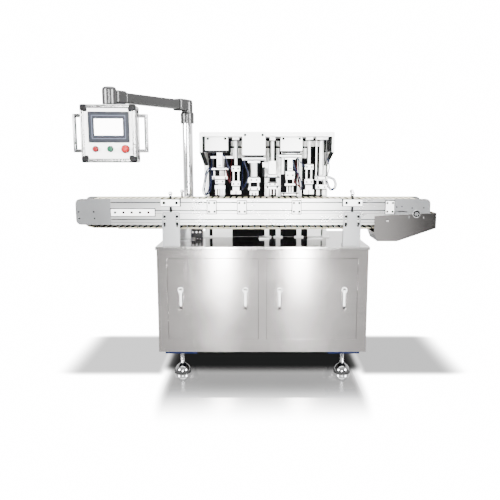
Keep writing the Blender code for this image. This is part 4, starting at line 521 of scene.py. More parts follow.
def dress(piece: Piece, name: str, finish: Finish, body: str, replaces: Sequence[str] = (),
          smooth: float = 35.0) -> Piece:
    """Name a finished piece, give it its finish and let it ride on its body.

    Args:
        piece: The piece, with its place in its mesh.
        name: The name that it keeps.
        finish: Its surface.
        body: The CAD body that carries it.
        replaces: CAD nodes that it stands for.
        smooth: Edges flatter than this are shaded smooth, in degrees.

    Returns:
        The same piece.
    """
    pick(piece)
    bpy.ops.object.transform_apply(location=True, rotation=True, scale=True)
    bpy.ops.object.shade_smooth_by_angle(angle=math.radians(smooth))
    apply_modifier(piece, "WEIGHTED_NORMAL", keep_sharp=True)
    piece.name = name
    piece.data.name = name
    piece.data.materials.clear()
    piece.data.materials.append(finish.material())
    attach(piece, body)
    if replaces:
        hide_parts(*replaces)
    clear_selection()
    LOG.info("piece %s: %d faces, on %s", name, len(piece.data.polygons), body)
    return piece


def paint(node: str, finish: Finish) -> None:
    """Give a CAD node whose shape is right its better finish."""
    item = NODES[node]
    item.data.materials.clear()
    item.data.materials.append(finish.material())
    LOG.info("node %s: %s", node, finish.name)


def screw_head(radius: float, height: float, sides: int = 14) -> Piece:
    """Model a socket screw head standing on the origin, with its socket sunk in.

    Args:
        radius: Radius of the head.
        height: Height of the head.
        sides: Facets round the head.

    Returns:
        The screw head.
    """
    rim = radius * 0.88
    socket = radius * 0.5
    return lathe([(radius, 0.0), (radius, height * 0.82), (rim, height), (socket, height),
                  (socket * 0.96, height * 0.4)], sides=sides)


def screws(places: Iterable[Point], radius: float, height: float, axis: Axis, name: str, body: str,
           finish: Finish = BLACK_OXIDE, turn: Matrix | None = None) -> Piece:
    """Set a group of screw heads on a surface.

    Args:
        places: Where each head stands, in the row frame, or in the turned frame.
        radius: Radius of a head.
        height: Height of a head.
        axis: Direction in which the heads point.
        name: The group's name.
        body: The CAD body that carries the group.
        finish: The screws' surface.
        turn: The frame that the places are given in, where it isn't the row frame.

    Returns:
        The group as one piece.
    """
    frame_of = turn or Matrix.Identity(4)
    spots = [frame_of @ Matrix.Translation(Vector(place)) @ axis.turn() for place in places]
    group = joined(copies(screw_head(radius, height), spots))
    return dress(group, name, finish, body)


@dataclass
class Cabinet:
    """The stainless cabinet with its table, its two lift-off panels and their latches."""

    sheet_edge: float = 0.0012
    table_edge: float = 0.0028
    panel_width: float = 0.558
    mullion: float = 0.054
    latch_inset: float = 0.079
    latch_width: float = 0.036
    latch_height: float = 0.150
    latch_middle: float = 0.493
    ring_radius: float = 0.0027
    lock_height: float = 0.437
    latch_face: float = 0.0014
    panels: tuple[str, ...] = ("left", "right")

    def latch_places(self) -> list[tuple[str, float]]:
        """Return each latch's panel side and its distance from the cabinet's middle."""
        half = (self.mullion + self.panel_width) / 2
        reach = self.panel_width / 2 - self.latch_inset
        return [("left", -half - reach), ("left", -half + reach),
                ("right", half - reach), ("right", half + reach)]

    def bezel(self, x: float) -> Piece:
        """Model a latch's rounded rim: a ring pulled apart to a long loop.

        Args:
            x: The latch's distance from the cabinet's middle.

        Returns:
            The rim.
        """
        clear_selection()
        ring = self.latch_width / 2 - self.ring_radius
        bpy.ops.mesh.primitive_torus_add(major_radius=ring, minor_radius=self.ring_radius,
                                         major_segments=32, minor_segments=10,
                                         rotation=(math.pi / 2, 0.0, 0.0))
        piece = bpy.context.object
        bpy.ops.object.transform_apply(location=True, rotation=True, scale=True)
        stretch = (self.latch_height - self.latch_width) / 2
        for upward in (1, -1):
            for vertex in piece.data.vertices:
                vertex.select = vertex.co.z * upward > 1e-6
            bpy.ops.object.mode_set(mode="EDIT")
            bpy.ops.transform.translate(value=(0.0, 0.0, upward * stretch))
            bpy.ops.mesh.select_all(action="DESELECT")
            bpy.ops.object.mode_set(mode="OBJECT")
        piece.data.transform(Matrix.Translation(at(x, self.latch_face + 0.001, self.latch_middle)))
        return piece

    def lock(self, x: float) -> Piece:
        """Model the black lock barrel with its key slot."""
        barrel = lathe([(0.0078, 0.0), (0.0078, 0.0026), (0.0066, 0.0034), (0.0030, 0.0034),
                        (0.0026, 0.0014)], at(x, self.latch_face + 0.001, self.lock_height),
                       Axis.FRONT, 20)
        return barrel

    def build(self) -> None:
        """Model and dress every piece of the cabinet."""
        dress(refined("cabinet", self.sheet_edge), "cabinet_carcass", BRUSHED_STAINLESS, "root",
              ["cabinet"])
        dress(refined("table_top", self.table_edge, 3), "table_sheet", TABLE_STAINLESS, "root",
              ["table_top"])
        for side in self.panels:
            dress(refined(f"access_panel_{side}", self.sheet_edge), f"panel_sheet_{side}",
                  BRUSHED_STAINLESS, f"panel_{side}", [f"access_panel_{side}"])
        for number, (side, x) in enumerate(self.latch_places(), start=1):
            dress(self.bezel(x), f"latch_bezel_{number}", SATIN_CHROME, f"panel_{side}",
                  smooth=80)
            dress(self.lock(x), f"latch_lock_{number}", BLACK_NYLON_AND_SHADE, f"panel_{side}")
            dress(refined(f"latch_lever_{number}", 0.0016, 3), f"latch_handle_{number}",
                  SATIN_CHROME, f"latch_{number}", [f"latch_lever_{number}"])


@dataclass
class LevellingFeet:
    """Four machine feet: a navy plate, a threaded stem with its nut, and a domed base on rubber."""

    inset_x: float = 0.510
    front_y: float = 0.065
    rear_y: float = 0.7338
    plate_top: float = 0.1515
    plate_size: tuple[float, float, float] = (0.200, 0.110, 0.0118)
    stem_radius: float = 0.0117
    thread_pitch: float = 0.004
    base_radius: float = 0.0522

    def stem(self, foot: Vector) -> Piece:
        """Model the threaded stem with its hexagon nut."""
        bottom = 0.060
        top = self.plate_top - self.plate_size[2] + 0.001
        turns = int((top - bottom) / self.thread_pitch)
        profile: list[Point] = [(self.stem_radius * 0.9, bottom)]
        for turn in range(turns):
            low = bottom + turn * self.thread_pitch
            profile += [(self.stem_radius, low + self.thread_pitch * 0.5),
                        (self.stem_radius * 0.9, low + self.thread_pitch)]
        stem = lathe(profile, foot, sides=20)
        nut = lathe([(0.017, top - 0.0145), (0.019, top - 0.0128), (0.019, top - 0.0012),
                     (0.017, top - 0.0002)], foot, sides=6)
        return joined([stem, nut])

    def base(self, foot: Vector) -> Piece:
        """Model the polished dome of the base."""
        radius = self.base_radius
        dome = [(radius * share, height) for share, height in
                ((1.0, 0.004), (1.0, 0.015), (0.985, 0.019), (0.94, 0.026), (0.86, 0.034), (0.74, 0.042),
                 (0.60, 0.049), (0.45, 0.055), (0.34, 0.061), (0.30, 0.064))]
        return lathe(dome, foot, sides=40)

    def build(self) -> None:
        """Model and dress the four feet."""
        for depth, y in (("front", self.front_y), ("rear", self.rear_y)):
            for side, sign in (("left", -1), ("right", 1)):
                foot = at(sign * self.inset_x, y, 0.0)
                width, length, thickness = self.plate_size
                low = foot + Vector((-width / 2, -length / 2, self.plate_top - thickness))
                high = foot + Vector((width / 2, length / 2, self.plate_top))
                dress(self.base(foot), f"foot_base_{depth}_{side}", CHROME_FOOT, "root",
                      [f"levelling_foot_{depth}_{side}"])
                dress(self.stem(foot), f"foot_stem_{depth}_{side}", POLISHED_STAINLESS, "root")
                dress(block(low, high, 0.0015), f"foot_plate_{depth}_{side}", NAVY_ENAMEL, "root")
                dress(lathe([(self.base_radius, 0.0), (self.base_radius + 0.0002, 0.0042)], foot, sides=40),
                      f"foot_pad_{depth}_{side}", BLACK_RUBBER_AND_SHADE, "root")


@dataclass
class ConveyorFrame:
    """The grooved rails, their end plates, the flange bearing and every screw on them."""

    splice_first: float = -0.9025
    splice_step: float = 0.0509
    splice_height: float = 1.027
    splice_face: float = 0.046
    guide_centres: tuple[float, ...] = (-0.311, -0.126, 0.208, 0.779)
    guide_face: float = 0.047
    guide_reach: float = 0.0165
    guide_heights: tuple[float, float] = (1.032, 1.085)
    front_clamps: tuple[float, float] = (-0.561, 0.548)
    rear_clamps: tuple[float, float] = (-0.523, 0.583)
    shade_outline_face: float = CONVEYOR_FRONT - 0.0011
    shade_outline_margin: float = 0.0045
    clamp_face: float = 0.0277
    clamp_height: float = 1.087
    clamp_reach: float = 0.038
    idler_holes: tuple[Point, ...] = ((-1.128, 1.030), (-1.035, 1.030), (-1.125, 0.989), (-1.032, 0.989))
    drive_screws: tuple[Point, ...] = ((0.821, 1.060), (0.853, 1.063), (0.916, 1.054), (0.987, 1.056))
    drive_axis: float = 0.9416
    bearing_face: float = 0.044
    rail_span: tuple[float, float] = (-0.929, 0.804)
    guide_half: float = 0.026
    guide_span: tuple[float, float] = (1.020, 1.0966)
    splice_x: tuple[float, float] = (-0.928, -0.660)
    splice_z: tuple[float, float] = (1.006, 1.048)
    clamp_half: float = 0.058
    clamp_span: tuple[float, float] = (1.067, 1.107)

    def bearing(self) -> None:
        """Model the front flange bearing: its rim and its black seal."""
        foot = at(self.drive_axis, self.bearing_face, CHAIN_AXIS_Z)
        rim = lathe([(0.0244, -0.002), (0.0250, 0.0), (0.0244, 0.0022), (0.0200, 0.0026), (0.0192, 0.0006)],
                    foot, Axis.FRONT, 40)
        dress(rim, "bearing_rim_front", POLISHED_STAINLESS, "conveyor")
        seal = lathe([(0.0192, 0.0), (0.0190, 0.0014), (0.0150, 0.0018), (0.0146, 0.0006)],
                     foot, Axis.FRONT, 40)
        dress(seal, "bearing_seal_front", BLACK_RUBBER_AND_SHADE, "conveyor")

    def strips(self, heights: Sequence[float], width: float, depth: float, name: str, finish: Finish) -> None:
        """Lay dark strips in the rails' grooves, front and rear: painted shade inside the grooves.

        Args:
            heights: Height of each groove's middle.
            width: Width of a strip.
            depth: How far a strip lies under the rail's face.
            name: The strips' name.
            finish: The strips' surface.
        """
        runs = []
        for z in heights:
            for face, inward in ((CONVEYOR_FRONT, 1), (2 * CONVEYOR_MIDDLE - CONVEYOR_FRONT, -1)):
                near, far = face + inward * depth, face + inward * (depth + 0.0006)
                runs.append(block(at(self.rail_span[0], near, z - width / 2),
                                  at(self.rail_span[1], far, z + width / 2), 0.0))
        dress(joined(runs), name, finish, "conveyor")

    def flat(self, x_range: tuple[float, float], z_range: tuple[float, float], face: float, margin: float,
             edge: float) -> Piece:
        """Model a thin flat plate that faces the operator, grown by a margin."""
        return block(at(x_range[0] - margin, face, z_range[0] - margin),
                     at(x_range[1] + margin, face + 0.0012, z_range[1] + margin), edge)

    def guide_plates(self) -> None:
        """Model the pale plates over the guide rail's studs and the splice bar, each on a black outline of
        painted shade, and the same for the front clamps.
        """
        spans = [((x - self.guide_half, x + self.guide_half), self.guide_span, self.guide_face)
                 for x in self.guide_centres]
        spans.append((self.splice_x, self.splice_z, self.splice_face))
        pale = [self.flat(x_range, z_range, face - 0.0004, 0.0, 0.0004)
                for x_range, z_range, face in spans]
        dress(joined(pale), "guide_plate_faces", MACHINED_BLOCK, "conveyor")
        dark = [self.flat(x_range, z_range, self.shade_outline_face, self.shade_outline_margin, 0.0)
                for x_range, z_range, _ in spans]
        dress(joined(dark), "guide_plate_shade_outlines", BLACK_RUBBER_AND_SHADE, "conveyor")
        clamps = [(x - self.clamp_half, x + self.clamp_half) for x in self.front_clamps]
        faces = [self.flat(clamp, self.clamp_span, self.clamp_face - 0.0003, 0.0, 0.0004) for clamp in clamps]
        dress(joined(faces), "clamp_faces", MACHINED_BLOCK, "conveyor")
        dark = [self.flat(clamp, self.clamp_span, self.shade_outline_face, self.shade_outline_margin, 0.0)
                for clamp in clamps]
        dress(joined(dark), "clamp_shade_outlines", BLACK_RUBBER_AND_SHADE, "conveyor")

    def build(self) -> None:
        """Model and dress the conveyor's frame."""
        for rail in ("front_rail", "rear_rail"):
            paint(rail, ANODISED_RAIL)
        # The dark strips are painted shade in the rails' grooves and score lines.
        self.strips((0.9832, 1.0386, 1.0875), 0.0054, 0.0012, "rail_slot_strips", BLACK_RUBBER_AND_SHADE)
        self.strips((0.9646, 1.0200), 0.0020, 0.0002, "rail_score_strips", BLACK_RUBBER_AND_SHADE)
        self.guide_plates()
        for end in ("idler", "drive"):
            for side in ("front", "rear"):
                dress(refined(f"{end}_plate_{side}", 0.0008), f"{end}_end_{side}", ANODISED_PLATE,
                      "conveyor", [f"{end}_plate_{side}"])
        self.bearing()
        splice = [at(self.splice_first + index * self.splice_step, self.splice_face, self.splice_height)
                  for index in range(5)]
        screws(splice, 0.0072, 0.0022, Axis.FRONT, "splice_screws", "conveyor")
        guides = [at(x + side * self.guide_reach, self.guide_face, z) for x in self.guide_centres
                  for side in (-1, 1) for z in self.guide_heights]
        screws(guides, 0.0068, 0.0022, Axis.FRONT, "guide_plate_screws", "conveyor")
        clamps = [at(x + side * self.clamp_reach, self.clamp_face, self.clamp_height)
                  for x in self.front_clamps for side in (-1, 1)]
        screws(clamps, 0.0085, 0.0055, Axis.FRONT, "clamp_screws_front", "conveyor")
        behind = 2 * CONVEYOR_MIDDLE - self.clamp_face
        clamps = [at(x + side * self.clamp_reach, behind, self.clamp_height)
                  for x in self.rear_clamps for side in (-1, 1)]
        screws(clamps, 0.0085, 0.0055, Axis.BACK, "clamp_screws_rear", "conveyor")
        idler = [at(x, CONVEYOR_FRONT + 0.0045, z) for x, z in self.idler_holes]
        screws(idler, 0.0050, 0.0030, Axis.FRONT, "idler_plate_screws", "conveyor")
        drive = [at(x, CONVEYOR_FRONT, z) for x, z in self.drive_screws]
        screws(drive, 0.0042, 0.0012, Axis.FRONT, "drive_plate_screws", "conveyor")


@dataclass
class SlatChain:
    """The hinged chain: 118 moulded slats with interlocking barrels on steel pins."""

    pitch: float = 0.0381
    width: float = 0.1905
    wrap_links: int = 14
    run_links: int = 52
    drive_axis: float = 0.9416
    rise: float = 0.0064
    thickness: float = 0.0040
    gap: float = 0.0062
    barrel_radius: float = 0.0034
    pin_radius: float = 0.0019
    barrels: int = 7
    gap_shade_half: float = 0.0068
    gap_shade_inset: float = 0.007
    slit: float = 0.0012

    def pins(self) -> list[Vector]:
        """Return the hinge pins in order, along the top first, as X and Z in the machine's frame."""
        reach = self.pitch / (2 * math.sin(math.pi / self.wrap_links))
        idler = self.drive_axis - self.run_links * self.pitch
        half = self.wrap_links // 2
        step = 2 * math.pi / self.wrap_links
        places = []
        for sign, start in ((1, idler), (-1, self.drive_axis)):
            end = start + sign * self.run_links * self.pitch
            places += [Vector((start + sign * index * self.pitch, CHAIN_AXIS_Z + sign * reach))
                       for index in range(self.run_links)]
            places += [Vector((end + sign * reach * math.sin(index * step),
                               CHAIN_AXIS_Z + sign * reach * math.cos(index * step)))
                       for index in range(half)]
        return places

    def slat(self) -> Piece:
        """Model one slat about the middle of its link, its outer face up.

        Returns:
            A plate with softened edges.
        """
        half = (self.pitch - self.gap) / 2
        side = self.width / 2
        return block((-half, -side, self.rise - self.thickness), (half, side, self.rise), 0.0007, 1)

    def hinge(self) -> Piece:
        """Model one hinge about its pin: a row of barrels with slits between them, under a dark strip;
        barrels and strip are painted shade in the gap between two slats.
        """
        side = self.width / 2
        length = self.width / self.barrels
        parts = []
        for index in range(self.barrels):
            start = -side + index * length + self.slit / 2
            parts.append(block((-self.barrel_radius, start, -self.barrel_radius),
                               (self.barrel_radius, start + length - self.slit, self.rise - 0.0010),
                               0.0012, 1))
        parts.append(block((-self.gap_shade_half, -side + self.gap_shade_inset, self.rise - 0.0012),
                           (self.gap_shade_half, side - self.gap_shade_inset, self.rise + 0.0002), 0.0))
        return joined(parts)

    def turned(self, direction: Vector) -> Matrix:
        """Return the turn that lays a link along a direction in the chain's plane."""
        return Matrix(((direction.x, 0.0, -direction.y, 0.0), (0.0, 1.0, 0.0, 0.0),
                       (direction.y, 0.0, direction.x, 0.0), (0.0, 0.0, 0.0, 1.0)))

    def build(self) -> None:
        """Set every slat, hinge and pin round the loop and join each kind to one piece."""
        places = self.pins()
        links, rods, hinges = [], [], []
        for index, pin in enumerate(places):
            following = places[(index + 1) % len(places)]
            along = (following - pin).normalized()
            mean = ((pin - places[index - 1]).normalized() + along).normalized()
            middle = (pin + following) / 2
            links.append(Matrix.Translation(at(middle.x, CONVEYOR_MIDDLE, middle.y)) @ self.turned(along))
            place = Matrix.Translation(at(pin.x, CONVEYOR_MIDDLE, pin.y))
            hinges.append(place @ self.turned(mean))
            rods.append(place)
        dress(joined(copies(self.slat(), links)), "chain_slats", IVORY_ACETAL, "conveyor",
              ["slat_chain"])
        # The dark hinges are painted shade in the gaps between the slats.
        dress(joined(copies(self.hinge(), hinges)), "chain_hinges", HINGE_GAP_SHADE, "conveyor")
        side = self.width / 2
        rod = bar((0.0, -side, 0.0), (0.0, side, 0.0), self.pin_radius, 6)
        dress(joined(copies(rod, rods)), "chain_pins", TURNED_STEEL, "conveyor")


@dataclass
class DriveEnd:
    """The drive's trough, shafts and gear motor."""

    motor_axis_z: float = 1.020
    fin_count: int = 11
    fin_pitch: float = 0.0125
    fin_width: float = 0.003
    fin_radius: float = 0.0566
    first_fin: float = 0.052
    motor_reach: float = 0.0663
    grille_rings: tuple[float, ...] = (0.012, 0.022, 0.032, 0.042)

    def motor(self) -> None:
        """Dress the gear motor and add its cooling rings and fan grille."""
        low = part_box("gear_motor")[0]
        dress(refined("gear_motor", 0.0012), "gear_motor_case", MOTOR_ENAMEL, "conveyor",
              ["gear_motor"])
        middle_y = CONVEYOR_MIDDLE * 2 - CONVEYOR_FRONT + self.motor_reach
        rings = []
        for index in range(self.fin_count):
            x = low.x - ORIGIN.x + self.first_fin + index * self.fin_pitch
            rings.append(bar(at(x, middle_y, self.motor_axis_z),
                             at(x + self.fin_width, middle_y, self.motor_axis_z),
                             self.fin_radius, 32, 0.0006))
        dress(joined(rings), "motor_fins", MOTOR_ENAMEL, "conveyor")
        grille = [lathe([(ring, -0.001), (ring + 0.0018, 0.0004), (ring + 0.0014, 0.0012), (ring, 0.0012)],
                        Vector((low.x, middle_y + ORIGIN.y, self.motor_axis_z)), Axis.RIGHT, 28)
                  for ring in self.grille_rings]
        dress(joined(grille), "motor_fan_grille", BLACK_NYLON_AND_SHADE, "conveyor")

    def build(self) -> None:
        """Model and dress the drive end."""
        dress(refined("drive_cover", 0.0006, 1), "trough_sheet", TROUGH_STAINLESS, "conveyor",
              ["drive_cover"])
        for shaft in ("drive_shaft", "idler_shaft"):
            paint(shaft, TURNED_STEEL)
        paint("carrying_track", IVORY_ACETAL)
        paint("return_track", IVORY_ACETAL)
        self.motor()


@dataclass
class Supports:
    """Four slotted brackets, each with its jack screw, ball knob and slot bolts."""

    front: tuple[float, float] = (-0.561, 0.548)
    rear: tuple[float, float] = (-0.523, 0.583)
    slot_reach: float = 0.038
    bolt_heights: tuple[float, float] = (0.9585, 1.0025)
    face: float = 0.0357
    screw_y: float = 0.0437
    screw_radius: float = 0.0072
    knob_radius: float = 0.0124
    knob_height: float = 1.143

    def jack(self, x: float, y: float) -> Piece:
        """Model the threaded jack screw between bracket and knob."""
        bottom, top, pitch = 1.029, 1.134, 0.0035
        profile: list[Point] = [(self.screw_radius * 0.975, bottom)]
        for turn in range(int((top - bottom) / pitch)):
            low = bottom + turn * pitch
            profile += [(self.screw_radius * 1.03, low + pitch / 2), (self.screw_radius * 0.975, low + pitch)]
        return lathe(profile, at(x, y, 0.0), sides=16)

    def knob(self, x: float, y: float) -> Piece:
        """Model the ball knob with its flat collar."""
        steps = 9
        collar = [(0.0082, -self.knob_radius - 0.002), (0.0082, -self.knob_radius + 0.003)]
        ball = []
        for step in range(2, steps):
            angle = math.pi * step / steps
            ball.append((self.knob_radius * math.sin(angle), -self.knob_radius * math.cos(angle)))
        ball.append((0.0006, self.knob_radius))
        return lathe(collar + ball, at(x, y, self.knob_height), sides=24)

    def build(self) -> None:
        """Model and dress the four supports."""
        behind = 2 * CONVEYOR_MIDDLE
        for depth, centres, face, screw_y, axis in (
                ("front", self.front, self.face, self.screw_y, Axis.FRONT),
                ("rear", self.rear, behind - self.face, behind - self.screw_y, Axis.BACK)):
            for side, x in zip(("left", "right"), centres):
                name = f"{depth}_{side}"
                dress(refined(f"support_bracket_{name}", 0.0010), f"bracket_{name}", BRACKET_PLATE, "root",
                      [f"support_bracket_{name}"])
                dress(self.jack(x, screw_y), f"jack_screw_{name}", BLACK_OXIDE, "root")
                dress(self.knob(x, screw_y), f"jack_knob_{name}", POLISHED_STAINLESS, "root",
                      smooth=60)
            places = [at(x + reach * self.slot_reach, face, z) for x in centres for reach in (-1, 1)
                      for z in self.bolt_heights]
            screws(places, 0.0082, 0.0060, axis, f"bracket_bolts_{depth}", "root")


@dataclass
class Gantry:
    """The side frames, roof, black rear sheet, the posts behind the stations and the valve unit."""

    left: float = -0.387
    right: float = 0.440
    front: float = 0.115
    roof: float = 1.513
    member: float = 0.028
    beam_face: float = 0.425
    skin: float = 0.0012
    shade_strip_top: float = 1.4862
    valve_face: float = 0.352
    valve_foot: float = 0.8228
    fittings: tuple[float, ...] = (-0.462, -0.438, -0.414)
    fitting_height: float = 0.868
    beam_gaps: tuple[tuple[float, float], ...] = (
        (-0.358, -0.232), (-0.2320, -0.2080), (-0.1700, -0.1580), (0.0470, 0.0600), (0.0800, 0.0930),
        (0.1150, 0.1290), (0.2960, 0.3000))
    slant_front: float = 1.3925
    slant: float = -math.atan2(0.0845, 0.308)
    slant_length: float = 0.3190
    members: tuple[str, ...] = ("gantry_frame_left", "gantry_frame_right", "roof_plate", "rear_support")

    def build(self) -> None:
        """Model and dress the gantry."""
        for node in self.members:
            dress(refined(node, 0.0010), f"{node}_block", MACHINED_BLOCK, "root",
                  [node])
        dress(refined("back_panel", 0.0006, 1), "rear_sheet", BLACK_COAT_AND_SHADE, "root",
              ["back_panel"])
        places = [at(x, y, self.roof) for x in (self.left + 0.014, self.right - 0.014)
                  for y in (self.front + 0.04, self.front + 0.17, self.front + 0.30)]
        screws(places, 0.0060, 0.0026, Axis.UP, "roof_screws", "root")
        self.shade_walls()
        self.shade_strips()
        self.valves()

    def shade_walls(self) -> None:
        """Model black sheets of painted shade on the inner faces of the side plates and under their slanted
        edges.
        """
        inner = (self.left + self.member, self.right - self.member)
        near, far = self.front + 0.001, self.beam_face - 0.001
        walls = [block(at(low, near, 1.3940), at(high, far, 1.4855), 0.0)
                 for low, high in ((inner[0] + 0.0002, inner[0] + self.skin + 0.0002),
                                   (inner[1] - self.skin - 0.0002, inner[1] - 0.0002))]
        for left in (self.left, self.right - self.member):
            strip = block((0.0, 0.0, -self.skin), (self.member, self.slant_length, 0.0), 0.0)
            strip.data.transform(Matrix.Translation(at(left, self.front, self.slant_front))
                                 @ Matrix.Rotation(self.slant, 4, "X"))
            walls.append(strip)
        dress(joined(walls), "gantry_shade_walls", BLACK_COAT_AND_SHADE, "root")

    def shade_strips(self) -> None:
        """Model black strips of painted shade along and between the beams and inside the side plates' front
        edges.
        """
        left_inner, right_inner = self.left + self.member, self.right - self.member
        skin = self.beam_face - self.skin
        parts = [block(at(left_inner, skin, 1.4225), at(right_inner, self.beam_face, 1.4330), 0.0),
                 block(at(left_inner, skin, 1.4690), at(right_inner, self.beam_face + 0.01, 1.4860), 0.0)]
        for left, right in self.beam_gaps:
            parts.append(block(at(left, self.beam_face - 0.0014, 1.3560),
                               at(right, self.beam_face, 1.4700), 0.0))
        for left, right in ((self.left + 0.0175, left_inner), (right_inner, self.right - 0.0143)):
            parts.append(block(at(left, self.front - self.skin, 1.3930),
                               at(right, self.front + 0.0006, self.shade_strip_top), 0.0))
        dress(joined(parts), "beam_shade_strips", BLACK_RUBBER_AND_SHADE, "root")

    def valves(self) -> None:
        """Model the black valve unit on the table and its pale fittings."""
        unit = block(at(-0.4765, self.valve_face, self.valve_foot), at(-0.4000, 0.438, 0.8870), 0.003)
        side = block(at(-0.5460, self.valve_face, self.valve_foot), at(-0.5250, 0.400, 0.8700), 0.002)
        dress(joined([unit, side]), "valve_unit", BLACK_NYLON_AND_SHADE, "root")
        profile = [(0.0062, 0.0), (0.0062, 0.0090), (0.0050, 0.0105)]
        knobs = [lathe(profile, at(x, self.valve_face, self.fitting_height), Axis.FRONT, 16)
                 for x in self.fittings]
        dress(joined(knobs), "valve_fittings", MACHINED_BLOCK, "root")


@dataclass(frozen=True)
class Hood:
    """One white cover over the stations.

    Attributes:
        left: Its left edge.
        right: Its right edge.
        face: Its front face.
        screws: Height of its two screws.
        bottom: Its lower edge.
        top: Its upper edge.
        shade: Upper edge of the dark rim behind it.
    """

    left: float
    right: float
    face: float
    screws: float
    bottom: float
    top: float
    shade: float


@dataclass
class CappingStations:
    """The seven stations: their fixed blocks, their heads and the small parts on them."""

    count: int = 7
    hoods: tuple[Hood, ...] = (
        Hood(-0.354, -0.213, 0.135, 1.474, 1.4020, 1.4862, 1.4862),
        Hood(-0.123, 0.017, 0.075, 1.494, 1.3740, 1.5130, 1.4850),
        Hood(0.111, 0.246, 0.135, 1.474, 1.3990, 1.4862, 1.4862))
    hood_screw_inset: float = 0.017
    cover_skin: float = 0.0012
    shadow_inset: float = 0.010
    shadow_depth: float = 0.0130
    rim: float = 0.0045
    joint_shade_skin: float = 0.0008
    joint_shade_depth: float = 0.012
    joint_shade_inward: float = 0.0019
    joint_shade_outward: float = 0.0039
    plate_screw: tuple[float, float] = (0.0056, 0.0018)
    block_face: float = 0.14425
    ledge_front: float = 0.196
    joints: tuple[tuple[int, str, float, float, float], ...] = (
        (1, "root", -0.266, 0.050, 1.2807), (1, "root", -0.266, 0.017, 1.2945),
        (1, "head", -0.266, 0.0465, 1.2252), (1, "head", -0.266, 0.028, 1.1974),
        (2, "root", -0.166, 0.025, 1.3080), (2, "head", -0.166, 0.025, 1.1820),
        (2, "root", -0.166, 0.021, 1.4640),
        (3, "root", -0.053, 0.073, 1.3609), (3, "root", -0.053, 0.0375, 1.3424),
        (3, "root", -0.053, 0.0375, 1.2366), (3, "head", -0.053, 0.035, 1.1573),
        (4, "root", 0.062, 0.0215, 1.2530), (4, "root", 0.062, 0.0465, 1.2351),
        (4, "root", 0.062, 0.017, 1.4610), (4, "head", 0.062, 0.029, 1.2050),
        (4, "head", 0.062, 0.0435, 1.1835),
        (5, "root", 0.173, 0.070, 1.3763), (5, "root", 0.173, 0.034, 1.3609),
        (5, "root", 0.173, 0.028, 1.2760), (5, "head", 0.173, 0.052, 1.1390),
        (5, "head", 0.173, 0.031, 1.1855),
        (6, "root", 0.291, 0.025, 1.3173), (6, "head", 0.291, 0.025, 1.1944),
        (6, "root", 0.291, 0.021, 1.4640),
        (7, "root", 0.3685, 0.037, 1.2437), (7, "head", 0.3685, 0.034, 1.1650),
        (7, "root", 0.3685, 0.037, 1.4640))
    grey_pads: tuple[tuple[float, float, float, float], ...] = (
        (0.062, 0.0465, 1.2370, 1.2420), (-0.053, 0.073, 1.3440, 1.3475), (0.173, 0.070, 1.3620, 1.3655),
        (0.3685, 0.037, 1.2230, 1.2262), (-0.266, 0.008, 1.3080, 1.3140), (0.173, 0.0100, 1.2900, 1.2960))
    dark_bars: tuple[tuple[float, float, float, float, float], ...] = (
        (-0.3075, 0.1540, 0.0052, 1.2950, 1.3520), (-0.0300, 0.1360, 0.0030, 1.2380, 1.3260),
        (-0.0760, 0.1360, 0.0030, 1.2380, 1.3260), (0.0080, 0.1800, 0.0075, 1.2400, 1.3000),
        (0.1480, 0.1700, 0.0060, 1.2760, 1.3300), (0.3970, 0.1360, 0.0034, 1.2460, 1.4600),
        (-0.2330, 0.1500, 0.0042, 1.2950, 1.3300))
    ledges: tuple[tuple[float, float, float, float], ...] = (
        (-0.325, -0.184, 1.3540, 1.3680), (0.000, 0.055, 1.2950, 1.3300))
    fixed_screws: tuple[tuple[int, float, float, float], ...] = (
        (3, -0.053, 0.016, 1.2212), (4, 0.062, 0.034, 1.2445), (5, 0.173, 0.016, 1.2500),
        (7, 0.3685, 0.026, 1.2335), (2, -0.166, 0.015, 1.2910), (6, 0.291, 0.015, 1.3020))
    head_screws: tuple[tuple[int, float, float, float], ...] = (
        (1, -0.266, 0.036, 1.2335), (1, -0.266, 0.018, 1.2110), (2, -0.166, 0.015, 1.1965),
        (3, -0.053, 0.022, 1.1655), (4, 0.062, 0.030, 1.1745), (4, 0.062, 0.016, 1.1945),
        (5, 0.173, 0.040, 1.1330), (6, 0.291, 0.015, 1.2090), (7, 0.3685, 0.020, 1.1770))

    def build(self) -> None:
        """Model and dress the stations."""
        for number in range(1, self.count + 1):
            dress(refined(f"station_{number}_body", 0.0008), f"station_{number}_fixture", MACHINED_BLOCK,
                  "root", [f"station_{number}_body"])
            dress(refined(f"station_{number}_head", 0.0006), f"station_{number}_tool", MACHINED_BLOCK,
                  f"head_{number}", [f"station_{number}_head"])
        places = [at(x, hood.face, hood.screws) for hood in self.hoods
                  for x in (hood.left + self.hood_screw_inset, hood.right - self.hood_screw_inset)]
        screws(places, 0.0075, 0.0034, Axis.FRONT, "hood_screws", "root")
        self.covers()
        self.joint_shades()
        self.slides()
        self.plate_screws()

    def covers(self) -> None:
        """Model the white faces of the three covers, and black blocks of painted shade in the gap under each
        and in a rim behind each.
        """
        faces = []
        gaps = []
        for hood in self.hoods:
            faces.append(block(at(hood.left, hood.face - self.cover_skin, hood.bottom),
                               at(hood.right, hood.face, hood.top), 0.0005))
            gaps.append(block(at(hood.left + self.shadow_inset, hood.face + 0.004,
                                 hood.bottom - self.shadow_depth),
                              at(hood.right - self.shadow_inset, hood.face + 0.030, hood.bottom), 0.0))
            gaps.append(block(at(hood.left - self.rim, hood.face + 0.002, hood.bottom - self.rim),
                              at(hood.right + self.rim, hood.face + 0.007, hood.shade), 0.0))
        dress(joined(faces), "cover_faces", WHITE_COVER, "root")
        dress(joined(gaps), "cover_gaps", BLACK_NYLON_AND_SHADE, "root")

